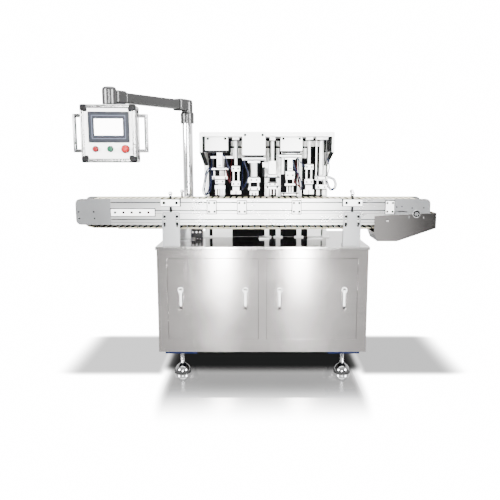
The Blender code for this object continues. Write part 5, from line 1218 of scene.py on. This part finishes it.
    def joint_shades(self) -> None:
        """Model black strips of painted shade at the joints of the stacked plates."""
        for kind, below, beyond in (("root", self.joint_shade_inward, self.joint_shade_outward),
                                    ("head", self.joint_shade_outward, self.joint_shade_inward)):
            for number in range(1, self.count + 1):
                parts = []
                for station, body, x, half, z in self.joints:
                    if station == number and body == kind:
                        parts.append(block(at(x - half, self.block_face - self.joint_shade_skin, z - below),
                                           at(x + half, self.block_face + self.joint_shade_depth, z + beyond), 0.0))
                if parts:
                    rider = "root" if kind == "root" else f"head_{number}"
                    dress(joined(parts), f"station_{number}_{kind}_shims", BLACK_NYLON_AND_SHADE, rider)

    def slides(self) -> None:
        """Model the grey cylinders and pads in front of and beside the plates."""
        grey = [block(at(x - half, self.block_face - 0.0016, low),
                      at(x + half, self.block_face + 0.004, high), 0.0006)
                for x, half, low, high in self.grey_pads]
        dress(joined(grey), "station_grey_pads", HARD_ANODISED, "root")
        bars = [bar(at(x, y, low), at(x, y, high), radius, 20, 0.0008)
                for x, y, radius, low, high in self.dark_bars]
        dress(joined(bars), "station_dark_cylinders", BLACK_NYLON_AND_SHADE, "root")
        pale = [block(at(left, self.ledge_front, low), at(right, self.ledge_front + 0.03, high), 0.0008)
                for left, right, low, high in self.ledges]
        dress(joined(pale), "station_ledges", MACHINED_BLOCK, "root")

    def plate_screws(self) -> None:
        """Set the pairs of black screws on the plates."""
        fixed = [at(x + side * reach, self.block_face, z) for station, x, reach, z in self.fixed_screws
                 for side in (-1, 1)]
        screws(fixed, *self.plate_screw, Axis.FRONT, "station_screws", "root")
        for station in sorted({row[0] for row in self.head_screws}):
            moving = [at(x + side * reach, self.block_face, z) for number, x, reach, z in self.head_screws
                      if number == station for side in (-1, 1)]
            screws(moving, *self.plate_screw, Axis.FRONT, f"station_{station}_head_screws", f"head_{station}")


@dataclass
class OperatorMast:
    """The pole and the swivel arm; the valve block beside the pole is modelled with the gantry."""

    pole: tuple[float, float] = (-0.491, 0.395)
    box_pivot: tuple[float, float] = (-0.857, -0.165)
    arm_height: float = 1.695
    arm_size: tuple[float, float] = (0.060, 0.058)
    clamp_start: float = 0.026
    clamp_length: float = 0.078
    margin: float = 0.008
    collar_bottom: float = 1.5798
    neck_seam: float = 1.655

    def arm_frame(self) -> Matrix:
        """Return the frame whose X runs from the pole's axis to the box's."""
        reach = Vector(self.box_pivot) - Vector(self.pole)
        yaw = math.atan2(reach.y, reach.x)
        return Matrix.Translation(at(*self.pole, 0.0)) @ Matrix.Rotation(yaw, 4, "Z")

    def beam(self, start: float, end: float, margin: float, edge: float) -> Piece:
        """Model a length of the arm with round corners, in the arm's own frame.

        Args:
            start: Distance of its inner end from the pole's axis.
            end: Distance of its outer end.
            margin: How much it is thicker than the tube.
            edge: Width of the corner rounding.

        Returns:
            The beam.
        """
        half_width = self.arm_size[0] / 2 + margin
        half_height = self.arm_size[1] / 2 + margin
        beam = block((start, -half_width, self.arm_height - half_height),
                     (end, half_width, self.arm_height + half_height), edge, 4)
        beam.data.transform(self.arm_frame())
        return beam

    def build(self) -> None:
        """Model and dress the mast."""
        foot = at(*self.pole, 0.0)
        paint("operator_pole", POLISHED_STAINLESS)
        length = (Vector(self.box_pivot) - Vector(self.pole)).length
        inner = (self.clamp_start, self.clamp_start + self.clamp_length)
        outer = (length - self.clamp_start - self.clamp_length, length - self.clamp_start)
        dress(self.beam(inner[1] - 0.002, outer[0] + 0.002, 0.0, 0.009), "arm_tube", GREY_LACQUER, "arm",
              ["swivel_arm"])
        for name, (start, end) in (("inner", inner), ("outer", outer)):
            dress(self.beam(start, end, self.margin, 0.012), f"arm_clamp_{name}", GREY_LACQUER, "arm")
        bottom = self.collar_bottom
        collar = lathe([(0.0415, bottom), (0.0435, bottom + 0.002), (0.0435, bottom + 0.020),
                        (0.0422, bottom + 0.0215), (0.0422, bottom + 0.024), (0.0435, bottom + 0.0255),
                        (0.0435, 1.640), (0.0400, 1.650), (0.0362, 1.653), (0.0360, 1.712),
                        (0.0345, 1.722), (0.0300, 1.729), (0.0200, 1.732)], foot, sides=48)
        dress(collar, "arm_elbow", GREY_LACQUER, "arm")
        neck_foot = at(*self.box_pivot, 0.0)
        seam = self.neck_seam
        neck = lathe([(0.0385, seam), (0.0400, seam + 0.0015), (0.0400, 1.728), (0.0388, 1.736),
                      (0.0350, 1.743), (0.0280, 1.747), (0.0150, 1.748)], neck_foot, sides=48)
        dress(neck, "arm_neck", GREY_LACQUER, "arm")


@dataclass
class OperatorBox:
    """The control box: housing, edge profiles, corner caps, screen, buttons and handles."""

    pivot: tuple[float, float] = (-0.857, -0.165)
    yaw: float = math.radians(4.5)
    width: float = 0.300
    depth: float = 0.170
    bottom: float = 1.331
    top: float = 1.646
    border: float = 0.022
    face: float = -0.082
    screen_middle: float = 1.523
    screen_shift: float = 0.004
    button_height: float = 1.405
    cap_size: float = 0.042
    cap_proud: float = 0.0008
    bead_round: tuple[float, int] = (0.008, 4)
    cap_back: float = 0.007
    grip_reach: float = 0.048
    grip_span: tuple[float, float] = (1.387, 1.599)
    bracket_spans: tuple[tuple[float, float], ...] = ((1.3865, 1.4055), (1.5805, 1.5995))

    def frame(self) -> Matrix:
        """Return the box's own frame, which faces the operator."""
        return Matrix.Translation(at(*self.pivot, 0.0)) @ Matrix.Rotation(self.yaw, 4, "Z")

    def put(self, piece: Piece, name: str, finish: Finish, body: str = "box",
            replaces: Sequence[str] = (), smooth: float = 35.0) -> Piece:
        """Move a piece from the box's own frame to its place and dress it."""
        piece.data.transform(self.frame())
        return dress(piece, name, finish, body, replaces, smooth)

    def housing(self) -> None:
        """Model the inner case, the front plate and the neck."""
        half = self.width / 2
        deep = self.depth / 2
        inset = 0.006
        case = block((-half + inset, -deep + inset, self.bottom + inset),
                     (half - inset, deep - inset, self.top - inset), 0.003)
        self.put(case, "box_case", ANODISED_PLATE, replaces=["control_box"])
        inner = half - self.border + 0.001
        plate = block((-inner, self.face, self.bottom + self.border - 0.001),
                      (inner, self.face + 0.004, self.top - self.border + 0.001), 0.0006)
        self.put(plate, "box_front_plate", WHITE_PLATE)
        neck = lathe([(0.040, self.top - 0.006), (0.040, 1.6525), (0.0385, 1.6545)], sides=48)
        self.put(neck, "box_neck", GREY_LACQUER)

    def profiles(self) -> None:
        """Model the round-edged profiles along the front and rear edges."""
        half, deep, bead = self.width / 2, self.depth / 2, self.border
        levels = ((self.bottom, self.bottom + bead), (self.top - bead, self.top))
        runs = []
        for y in (-1, 1):
            outer, inner = y * deep, y * (deep - bead)
            for x in (-1, 1):
                runs.append(block((x * half, outer, self.bottom + bead),
                                  (x * (half - bead), inner, self.top - bead), *self.bead_round))
            for low, high in levels:
                runs.append(block((-half + bead, outer, low), (half - bead, inner, high), *self.bead_round))
        for x in (-1, 1):
            for low, high in levels:
                runs.append(block((x * half, -deep + bead, low), (x * (half - bead), deep - bead, high),
                                  *self.bead_round))
        self.put(joined(runs), "box_edge_profiles", BOX_PROFILE, smooth=50)

    def corners(self) -> None:
        """Model the eight black corner caps."""
        size, proud = self.cap_size, self.cap_proud
        levels = ((self.bottom - proud, self.bottom + size), (self.top - size, self.top + proud))
        caps = [block((x * (self.width / 2 + proud), y * (self.depth / 2 + proud), low),
                      (x * (self.width / 2 - size), y * (self.depth / 2 - size), high), 0.0105, 5)
                for x in (-1, 1) for y in (-1, 1) for low, high in levels]
        self.put(joined(caps), "box_corner_caps", BLACK_NYLON_AND_SHADE, smooth=60)

    def screen(self) -> None:
        """Model the stepped screen frame and the lit panel."""
        middle = self.screen_shift
        steps = ((0.111, 0.083, 0.0000, 0.0060, DARK_RIM, "screen_outer_frame"),
                 (0.107, 0.079, 0.0055, 0.0070, SLATE_FRAME, "screen_slate_frame"),
                 (0.092, 0.064, 0.0070, 0.0082, PALE_STEP, "screen_pale_step"),
                 (0.088, 0.060, 0.0074, 0.0086, SLATE_FRAME, "screen_inner_frame"),
                 (0.077, 0.0445, 0.0078, 0.0090, LIT_SCREEN, "screen_panel"))
        for half_width, half_height, back, front, finish, name in steps:
            edge = 0.006 if name == "screen_outer_frame" else 0.0004
            sheet = block((middle - half_width, self.face - front, self.screen_middle - half_height),
                          (middle + half_width, self.face - back, self.screen_middle + half_height), edge, 3)
            stands_for = ["touch_screen"] if name == "screen_outer_frame" else []
            self.put(sheet, name, finish, replaces=stands_for)

    def button(self, body: str, offset: float, radius: float, thickness: float, travel: float,
               finish: Finish) -> None:
        """Model one button: its chrome ring and black collar on the plate, and its domed cap.

        Args:
            body: The CAD body of the cap.
            offset: Distance from the box's middle.
            radius: Radius of the cap.
            thickness: Thickness of the cap.
            travel: How far the cap goes in.
            finish: The cap's surface.
        """
        foot = Vector((offset, self.face, self.button_height))
        back = self.cap_back
        rise = back - travel - 0.0003
        ring = lathe([(0.0138, 0.0), (0.0138, rise * 0.6), (0.0130, rise), (0.0110, rise),
                      (0.0104, rise * 0.3)], foot, Axis.FRONT, 36)
        self.put(ring, f"{body}_ring", POLISHED_STAINLESS)
        collar = lathe([(radius + 0.0035, 0.0), (radius + 0.0035, 0.0040), (radius + 0.0020, 0.0055),
                        (radius + 0.0006, 0.0055), (radius + 0.0006, 0.0005)], foot, Axis.FRONT, 36)
        self.put(collar, f"{body}_collar", BLACK_NYLON_AND_SHADE, smooth=50)
        stem = min(travel + 0.0011, back - 0.0002)
        cap = lathe([(0.0088, stem), (0.0088, back), (radius * 0.94, back), (radius, back + 0.0015),
                     (radius, back + thickness * 0.55), (radius * 0.93, back + thickness * 0.85),
                     (radius * 0.72, back + thickness), (radius * 0.35, back + thickness * 1.02)],
                    foot, Axis.FRONT, 36)
        self.put(cap, f"{body}_cap", finish, body, [f"{body}_button"], 50)

    def handles(self) -> None:
        """Model the grip tubes and their grey end brackets."""
        half = self.width / 2
        for side, sign in (("left", -1), ("right", 1)):
            outer = sign * (half + self.grip_reach)
            grip = bar((outer, 0.0, self.grip_span[0]), (outer, 0.0, self.grip_span[1]), 0.0108, 28, 0.002)
            self.put(grip, f"handle_grip_{side}", CHROME_FOOT,
                     replaces=[f"box_handle_{side}"])
            near = sign * (half + 0.0005)
            ends = [block((near, -0.0115, low), (outer, 0.0115, high), 0.003, 3)
                    for low, high in self.bracket_spans]
            self.put(joined(ends), f"handle_brackets_{side}", GREY_LACQUER)

    def build(self) -> None:
        """Model and dress the whole box."""
        self.housing()
        self.profiles()
        self.corners()
        self.screen()
        self.button("stop", -0.072, 0.0135, 0.006, 0.004, RED_CAP)
        self.button("start", 0.008, 0.0135, 0.006, 0.004, GREEN_CAP)
        self.button("emergency", 0.090, 0.0200, 0.014, 0.006, MUSHROOM_RED)
        self.handles()


@dataclass
class AirHoses:
    """The three air hoses of the CAD frame and the eight thinner ones between the stations."""

    radius: float = 0.004
    spacing: float = 0.020
    routes: dict[str, tuple[Point, ...]] = field(default_factory=lambda: {
        "air_hose_left": ((-0.3165, 0.160, 1.287), (-0.330, 0.160, 1.286), (-0.346, 0.162, 1.262),
                          (-0.358, 0.166, 1.205), (-0.368, 0.172, 1.155), (-0.362, 0.190, 1.132),
                          (-0.347, 0.215, 1.140), (-0.338, 0.250, 1.180), (-0.332, 0.300, 1.250),
                          (-0.330, 0.350, 1.330), (-0.330, 0.395, 1.378), (-0.330, 0.4245, 1.385)),
        "air_hose_right": ((0.4060, 0.160, 1.232), (0.420, 0.160, 1.233), (0.442, 0.161, 1.224),
                           (0.456, 0.168, 1.196), (0.452, 0.185, 1.170), (0.438, 0.215, 1.162),
                           (0.430, 0.260, 1.178), (0.427, 0.320, 1.205), (0.426, 0.380, 1.225),
                           (0.426, 0.4222, 1.232)),
        "air_hose_middle": ((-0.2484, 0.175, 1.375), (-0.241, 0.175, 1.375), (-0.232, 0.178, 1.360),
                            (-0.223, 0.180, 1.330), (-0.214, 0.181, 1.302), (-0.204, 0.181, 1.291),
                            (-0.1915, 0.181, 1.290)),
    })

    thin_radius: float = 0.0034
    thin_routes: dict[str, tuple[Point, ...]] = field(default_factory=lambda: {
        "air_line_second": ((-0.112, 0.150, 1.3420), (-0.112, 0.149, 1.326), (-0.102, 0.146, 1.300),
                            (-0.090, 0.142, 1.270), (-0.088, 0.139, 1.240), (-0.096, 0.138, 1.212),
                            (-0.110, 0.142, 1.186), (-0.122, 0.157, 1.165), (-0.127, 0.190, 1.160),
                            (-0.128, 0.235, 1.190), (-0.128, 0.300, 1.270), (-0.127, 0.365, 1.345),
                            (-0.126, 0.4245, 1.385)),
        "air_line_fourth": ((0.188, 0.142, 1.3480), (0.189, 0.1405, 1.332), (0.199, 0.1375, 1.300),
                            (0.216, 0.1365, 1.268), (0.233, 0.1365, 1.235), (0.243, 0.139, 1.205),
                            (0.245, 0.148, 1.180), (0.244, 0.172, 1.160), (0.241, 0.210, 1.160),
                            (0.239, 0.260, 1.195), (0.238, 0.320, 1.270), (0.237, 0.375, 1.345),
                            (0.237, 0.4245, 1.385)),
        "air_line_fifth": ((0.222, 0.150, 1.3600), (0.223, 0.149, 1.350), (0.231, 0.147, 1.336),
                           (0.243, 0.146, 1.324), (0.255, 0.149, 1.311), (0.266, 0.155, 1.303)),
        "air_line_seventh": ((0.3990, 0.1420, 1.3550), (0.4040, 0.137, 1.345), (0.4120, 0.134, 1.322),
                             (0.4140, 0.135, 1.295), (0.4080, 0.140, 1.268), (0.4040, 0.1440, 1.2450)),
        "vacuum_line_first": ((-0.2250, 0.1400, 1.2860), (-0.2250, 0.136, 1.272), (-0.2170, 0.134, 1.246),
                              (-0.2100, 0.136, 1.222), (-0.2050, 0.146, 1.207), (-0.2030, 0.175, 1.203),
                              (-0.2030, 0.230, 1.230), (-0.2020, 0.300, 1.300), (-0.2010, 0.365, 1.360),
                              (-0.2010, 0.4245, 1.390)),
        "vacuum_line_fifth": ((0.1980, 0.1400, 1.2300), (0.1990, 0.137, 1.218), (0.2080, 0.134, 1.200),
                              (0.2260, 0.135, 1.184), (0.2365, 0.148, 1.174), (0.2360, 0.180, 1.172),
                              (0.2320, 0.235, 1.197), (0.2260, 0.300, 1.270), (0.2210, 0.365, 1.345),
                              (0.2170, 0.4245, 1.380)),
    })

    pair_gap: float = 0.0085
    pairs: dict[str, tuple[str, int]] = field(default_factory=lambda: {
        "air_line_left": ("air_hose_left", 1), "air_line_right": ("air_hose_right", -1)})

    def beside(self, points: Sequence[Point], side: int) -> list[Point]:
        """Work out the route of a second tube beside a first one, as seen from the front.

        Args:
            points: The first tube's route.
            side: 1 or -1, the side that the second tube lies on.

        Returns:
            The second tube's route.
        """
        moved = []
        for index, point in enumerate(points):
            run = Vector(points[min(index + 1, len(points) - 1)]) - Vector(points[max(index - 1, 0)])
            across = Vector((run.z, 0.0, -run.x)).normalized()
            moved.append(tuple(Vector(point) + across * self.pair_gap * side))
        return moved

    def smooth(self, points: Sequence[Point]) -> list[Vector]:
        """Read a route from a smooth curve through its own points.

        Args:
            points: The route's points in the machine's frame.

        Returns:
            Closely spaced points in the row frame.
        """
        places = [at(*point) for point in points]
        ends = [2 * places[0] - places[1], *places, 2 * places[-1] - places[-2]]
        route = [places[0]]
        for index in range(1, len(ends) - 2):
            before, start, end, after = ends[index - 1:index + 3]
            steps = max(1, round((end - start).length / self.spacing))
            for step in range(1, steps + 1):
                t = step / steps
                route.append(0.5 * (2 * start + (end - before) * t
                                    + (2 * before - 5 * start + 4 * end - after) * t ** 2
                                    + (3 * start - before - 3 * end + after) * t ** 3))
        return route

    def hose(self, name: str, points: Sequence[Point], radius: float, finish: Finish) -> Piece:
        """Args:
            name: The hose's name.
            points: The route in the machine's frame.
            radius: Radius of the tube.
            finish: The tube's surface.

        Returns:
            The hose.
        """
        route = self.smooth(points)
        curve = bpy.data.curves.new(name, "CURVE")
        curve.dimensions = "3D"
        curve.bevel_depth = radius
        curve.bevel_resolution = 4
        curve.use_fill_caps = True
        spline = curve.splines.new("POLY")
        spline.points.add(len(route) - 1)
        for point, place in zip(spline.points, route):
            point.co = (*place, 1.0)
        spline.use_smooth = True
        curve.materials.append(finish.material())
        piece = bpy.data.objects.new(name, curve)
        bpy.context.scene.collection.objects.link(piece)
        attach(piece, "root")
        return piece

    def build(self) -> None:
        """Model the three hoses that the CAD frame holds, and the thinner ones between the stations."""
        for node, points in self.routes.items():
            hose = self.hose(node.replace("air_hose", "air_tube"), points, self.radius, NAVY_TUBE)
            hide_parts(node)
        for name, points in self.thin_routes.items():
            self.hose(name, points, self.thin_radius, RED_TUBE if "vacuum" in name else NAVY_TUBE)
        for name, (first, side) in self.pairs.items():
            self.hose(name, self.beside(self.routes[first], side), self.thin_radius, NAVY_TUBE)


@dataclass
class Studio:
    """The pale glossy floor, the white backdrop, the soft lights and the camera."""

    lens: float = 41.4
    shift_x: float = -0.014
    tilt: float = math.radians(80.97)
    camera_place: tuple[float, float, float] = (-0.034, -3.465, 1.3526)
    floor_size: float = 8.0
    mirror_share: float = 0.64
    white_level: float = 16.0
    mirror_shade: float = 0.075
    beside_shade: float = 0.078
    right_shade: float = 0.72
    under_shade: float = 0.015
    overhead_power: float = 420.0
    side_power: float = 950.0
    strip_power: float = 430.0

    def mask(self, tree: bpy.types.NodeTree, middle: tuple[float, float], half: tuple[float, float],
             soft: tuple[float, float]) -> bpy.types.NodeSocket:
        """Return a floor mask: one inside a rectangle, falling to nothing over its soft edge.

        Args:
            tree: The floor's node tree.
            middle: The rectangle's middle in the machine's frame.
            half: Half of its width and depth.
            soft: Width of its soft edge to the sides, and to the front and back.

        Returns:
            The mask.
        """
        place = add_node(tree, "ShaderNodeTexCoord")
        off = add_node(tree, "ShaderNodeVectorMath", {"operation": "SUBTRACT"}, {0: place.outputs["Object"]})
        off.inputs[1].default_value = at(*middle, 0.0)
        spread = add_node(tree, "ShaderNodeVectorMath", {"operation": "ABSOLUTE"}, {0: off.outputs[0]})
        past = add_node(tree, "ShaderNodeVectorMath", {"operation": "SUBTRACT"}, {0: spread.outputs[0]})
        past.inputs[1].default_value = (*half, 0.0)
        outside = add_node(tree, "ShaderNodeVectorMath", {"operation": "MAXIMUM"}, {0: past.outputs[0]})
        outside.inputs[1].default_value = (0.0, 0.0, 0.0)
        scaled = add_node(tree, "ShaderNodeVectorMath", {"operation": "MULTIPLY"}, {0: outside.outputs[0]})
        scaled.inputs[1].default_value = (1 / soft[0], 1 / soft[1], 0.0)
        distance = add_node(tree, "ShaderNodeVectorMath", {"operation": "LENGTH"}, {0: scaled.outputs[0]})
        share = add_node(tree, "ShaderNodeMapRange",
                         {"interpolation_type": "SMOOTHSTEP", "To Min": 1.0, "To Max": 0.0},
                         {"Value": distance.outputs["Value"]})
        return share.outputs[0]

    def darkened(self, tree: bpy.types.NodeTree, level: bpy.types.NodeSocket | float,
                 mask: bpy.types.NodeSocket, share: float) -> bpy.types.NodeSocket:
        """Multiply a brightness by a share where a mask is one, evenly to the eye in between."""
        part = add_node(tree, "ShaderNodeMath", {"operation": "POWER"}, {1: mask})
        part.inputs[0].default_value = share
        product = add_node(tree, "ShaderNodeMath", {"operation": "MULTIPLY"}, {0: part.outputs[0]})
        if isinstance(level, float):
            product.inputs[1].default_value = level
        else:
            tree.links.new(level, product.inputs[1])
        return product.outputs[0]

    def floor(self) -> None:
        """Make the floor: white and glossy, with soft shade under and beside the machine."""
        clear_selection()
        bpy.ops.mesh.primitive_plane_add(size=self.floor_size, location=(0.0, 0.0, -0.0006))
        floor = bpy.context.object
        floor.name = "studio_floor"
        made = bpy.data.materials.new("pale_floor")
        made.use_nodes = True
        tree = made.node_tree
        tree.nodes.remove(tree.nodes["Principled BSDF"])
        mirror = self.mask(tree, (0.0, 0.26), (0.545, 0.36), (0.09, 0.60))
        level = self.darkened(tree, self.white_level, mirror, self.mirror_shade)
        beside = self.mask(tree, (0.0, 0.42), (1.14, 0.34), (0.20, 0.10))
        right = self.mask(tree, (0.92, 0.42), (0.30, 0.34), (0.15, 0.08))
        beyond = self.mask(tree, (0.0, 0.42), (0.605, 0.34), (0.07, 0.10))
        sides = add_node(tree, "ShaderNodeMath", {"operation": "SUBTRACT", "use_clamp": True},
                         {0: beside, 1: beyond})
        level = self.darkened(tree, level, sides.outputs[0], self.beside_shade)
        level = self.darkened(tree, level, right, self.right_shade)
        under = self.mask(tree, (0.0, 0.50), (0.60, 0.31), (0.06, 0.16))
        level = self.darkened(tree, level, under, self.under_shade)
        pale = add_node(tree, "ShaderNodeEmission", links={"Strength": level})
        gloss = add_node(tree, "ShaderNodeBsdfGlossy", {"Color": linear("#FFFFFF"), "Roughness": 0.04})
        clear = add_node(tree, "ShaderNodeMath", {"operation": "SUBTRACT", "use_clamp": True},
                         {0: mirror, 1: under})
        share = add_node(tree, "ShaderNodeMath", {"operation": "MULTIPLY"}, {0: clear.outputs[0]})
        share.inputs[1].default_value = self.mirror_share
        seen = add_node(tree, "ShaderNodeMixShader", links={"Fac": share.outputs[0], 1: pale.outputs[0],
                                                            2: gloss.outputs[0]})
        matt = add_node(tree, "ShaderNodeBsdfDiffuse", {"Color": linear("#6E6E6E")})
        ray = add_node(tree, "ShaderNodeLightPath")
        both = add_node(tree, "ShaderNodeMixShader",
                        links={"Fac": ray.outputs["Is Camera Ray"], 1: matt.outputs[0], 2: seen.outputs[0]})
        tree.links.new(both.outputs[0], tree.nodes["Material Output"].inputs["Surface"])
        floor.data.materials.append(made)

    def world(self) -> None:
        """Make the surroundings: white to the camera, toned for reflections and fill light."""
        world = bpy.data.worlds.new("studio")
        bpy.context.scene.world = world
        world.use_nodes = True
        tree = world.node_tree
        place = add_node(tree, "ShaderNodeTexCoord")
        parts = add_node(tree, "ShaderNodeSeparateXYZ", links={"Vector": place.outputs["Generated"]})
        side = add_node(tree, "ShaderNodeMapRange", {"From Min": -0.5, "From Max": 0.5},
                        {"Value": parts.outputs["X"]})
        across = add_node(tree, "ShaderNodeValToRGB", links={"Fac": side.outputs[0]})
        tones = ((0.0, 0.35), (0.22, 0.45), (0.36, 0.45), (0.50, 0.36), (0.64, 0.50), (0.70, 1.60),
                 (0.79, 0.05), (1.0, 0.20))
        ramp = across.color_ramp
        while len(ramp.elements) < len(tones):
            ramp.elements.new(0.5)
        for element, (position, tone) in zip(ramp.elements, tones):
            element.position = position
            element.color = (tone, tone, tone, 1.0)
        behind = add_node(tree, "ShaderNodeMapRange",
                          {"From Min": -0.15, "From Max": 0.25, "To Min": 0.0, "To Max": 1.0},
                          {"Value": parts.outputs["Y"]})
        rear = add_node(tree, "ShaderNodeMix", {"data_type": "RGBA"},
                        {"Factor": behind.outputs[0], 6: across.outputs["Color"]})
        rear.inputs[7].default_value = (2.5, 2.5, 2.5, 1.0)
        height = add_node(tree, "ShaderNodeMapRange",
                          {"From Min": 0.18, "From Max": 0.75, "To Min": 0.0, "To Max": 1.0},
                          {"Value": parts.outputs["Z"]})
        above = add_node(tree, "ShaderNodeMix", {"data_type": "RGBA"},
                         {"Factor": height.outputs[0], 6: rear.outputs[2]})
        above.inputs[7].default_value = (2.0, 2.0, 2.0, 1.0)
        light = add_node(tree, "ShaderNodeBackground", {"Strength": 1.0}, {"Color": above.outputs[2]})
        white = add_node(tree, "ShaderNodeBackground",
                         {"Color": (1.0, 1.0, 1.0, 1.0), "Strength": self.white_level})
        ray = add_node(tree, "ShaderNodeLightPath")
        mix = add_node(tree, "ShaderNodeMixShader",
                       links={"Fac": ray.outputs["Is Camera Ray"], 1: light.outputs[0], 2: white.outputs[0]})
        output = tree.nodes.get("World Output")
        tree.links.new(mix.outputs[0], output.inputs["Surface"])

    def lamp(self, name: str, place: Point, aim: Point, size: tuple[float, float], power: float) -> None:
        """Hang one softbox.

        Args:
            name: The light's name.
            place: Where it hangs.
            aim: The point that it faces.
            size: Its width and height.
            power: Its power in watts.
        """
        light = bpy.data.lights.new(name, "AREA")
        light.shape = "RECTANGLE"
        light.size, light.size_y = size
        light.energy = power
        lamp = bpy.data.objects.new(name, light)
        bpy.context.scene.collection.objects.link(lamp)
        lamp.location = place
        run = Vector(aim) - Vector(place)
        lamp.rotation_euler = run.to_track_quat("-Z", "Y").to_euler()
        lamp.visible_camera = False

    def lights(self) -> None:
        """Hang the overhead softbox, the two side boxes and the two upright strips."""
        self.lamp("overhead", (0.0, -0.3, 4.2), (0.0, 0.0, 0.0), (4.5, 3.0), self.overhead_power)
        for name, x in (("side_left", -4.4), ("side_right", 4.4)):
            self.lamp(name, (x, -3.4, 2.6), (0.0, 0.0, 1.2), (2.0, 2.0), self.side_power)
        for name, x in (("strip_left", -0.63), ("strip_right", 0.687)):
            self.lamp(name, tuple(at(x, -6.0, 1.6)), tuple(at(x, 0.0, 1.0)), (0.28, 4.0), self.strip_power)

    def camera(self) -> None:
        """Set the camera at the photograph's place and angle."""
        data = bpy.data.cameras.new("camera")
        data.lens = self.lens
        data.shift_x = self.shift_x
        camera = bpy.data.objects.new("camera", data)
        camera.location = at(*self.camera_place)
        camera.rotation_euler = (self.tilt, 0.0, 0.0)
        bpy.context.scene.collection.objects.link(camera)
        bpy.context.scene.camera = camera

    def build(self) -> None:
        """Set up the whole studio."""
        self.camera()
        self.floor()
        self.world()
        self.lights()


def main() -> None:
    """Build the machine's looks in order."""
    logging.basicConfig(level=logging.INFO, format="%(message)s")
    builders: list[Callable[[], None]] = [
        Studio().build, AirHoses().build, Cabinet().build, LevellingFeet().build, ConveyorFrame().build,
        SlatChain().build, DriveEnd().build, Supports().build, Gantry().build, CappingStations().build,
        OperatorMast().build, OperatorBox().build,
    ]
    for build in builders:
        build()


if __name__ == "__main__":
    main()
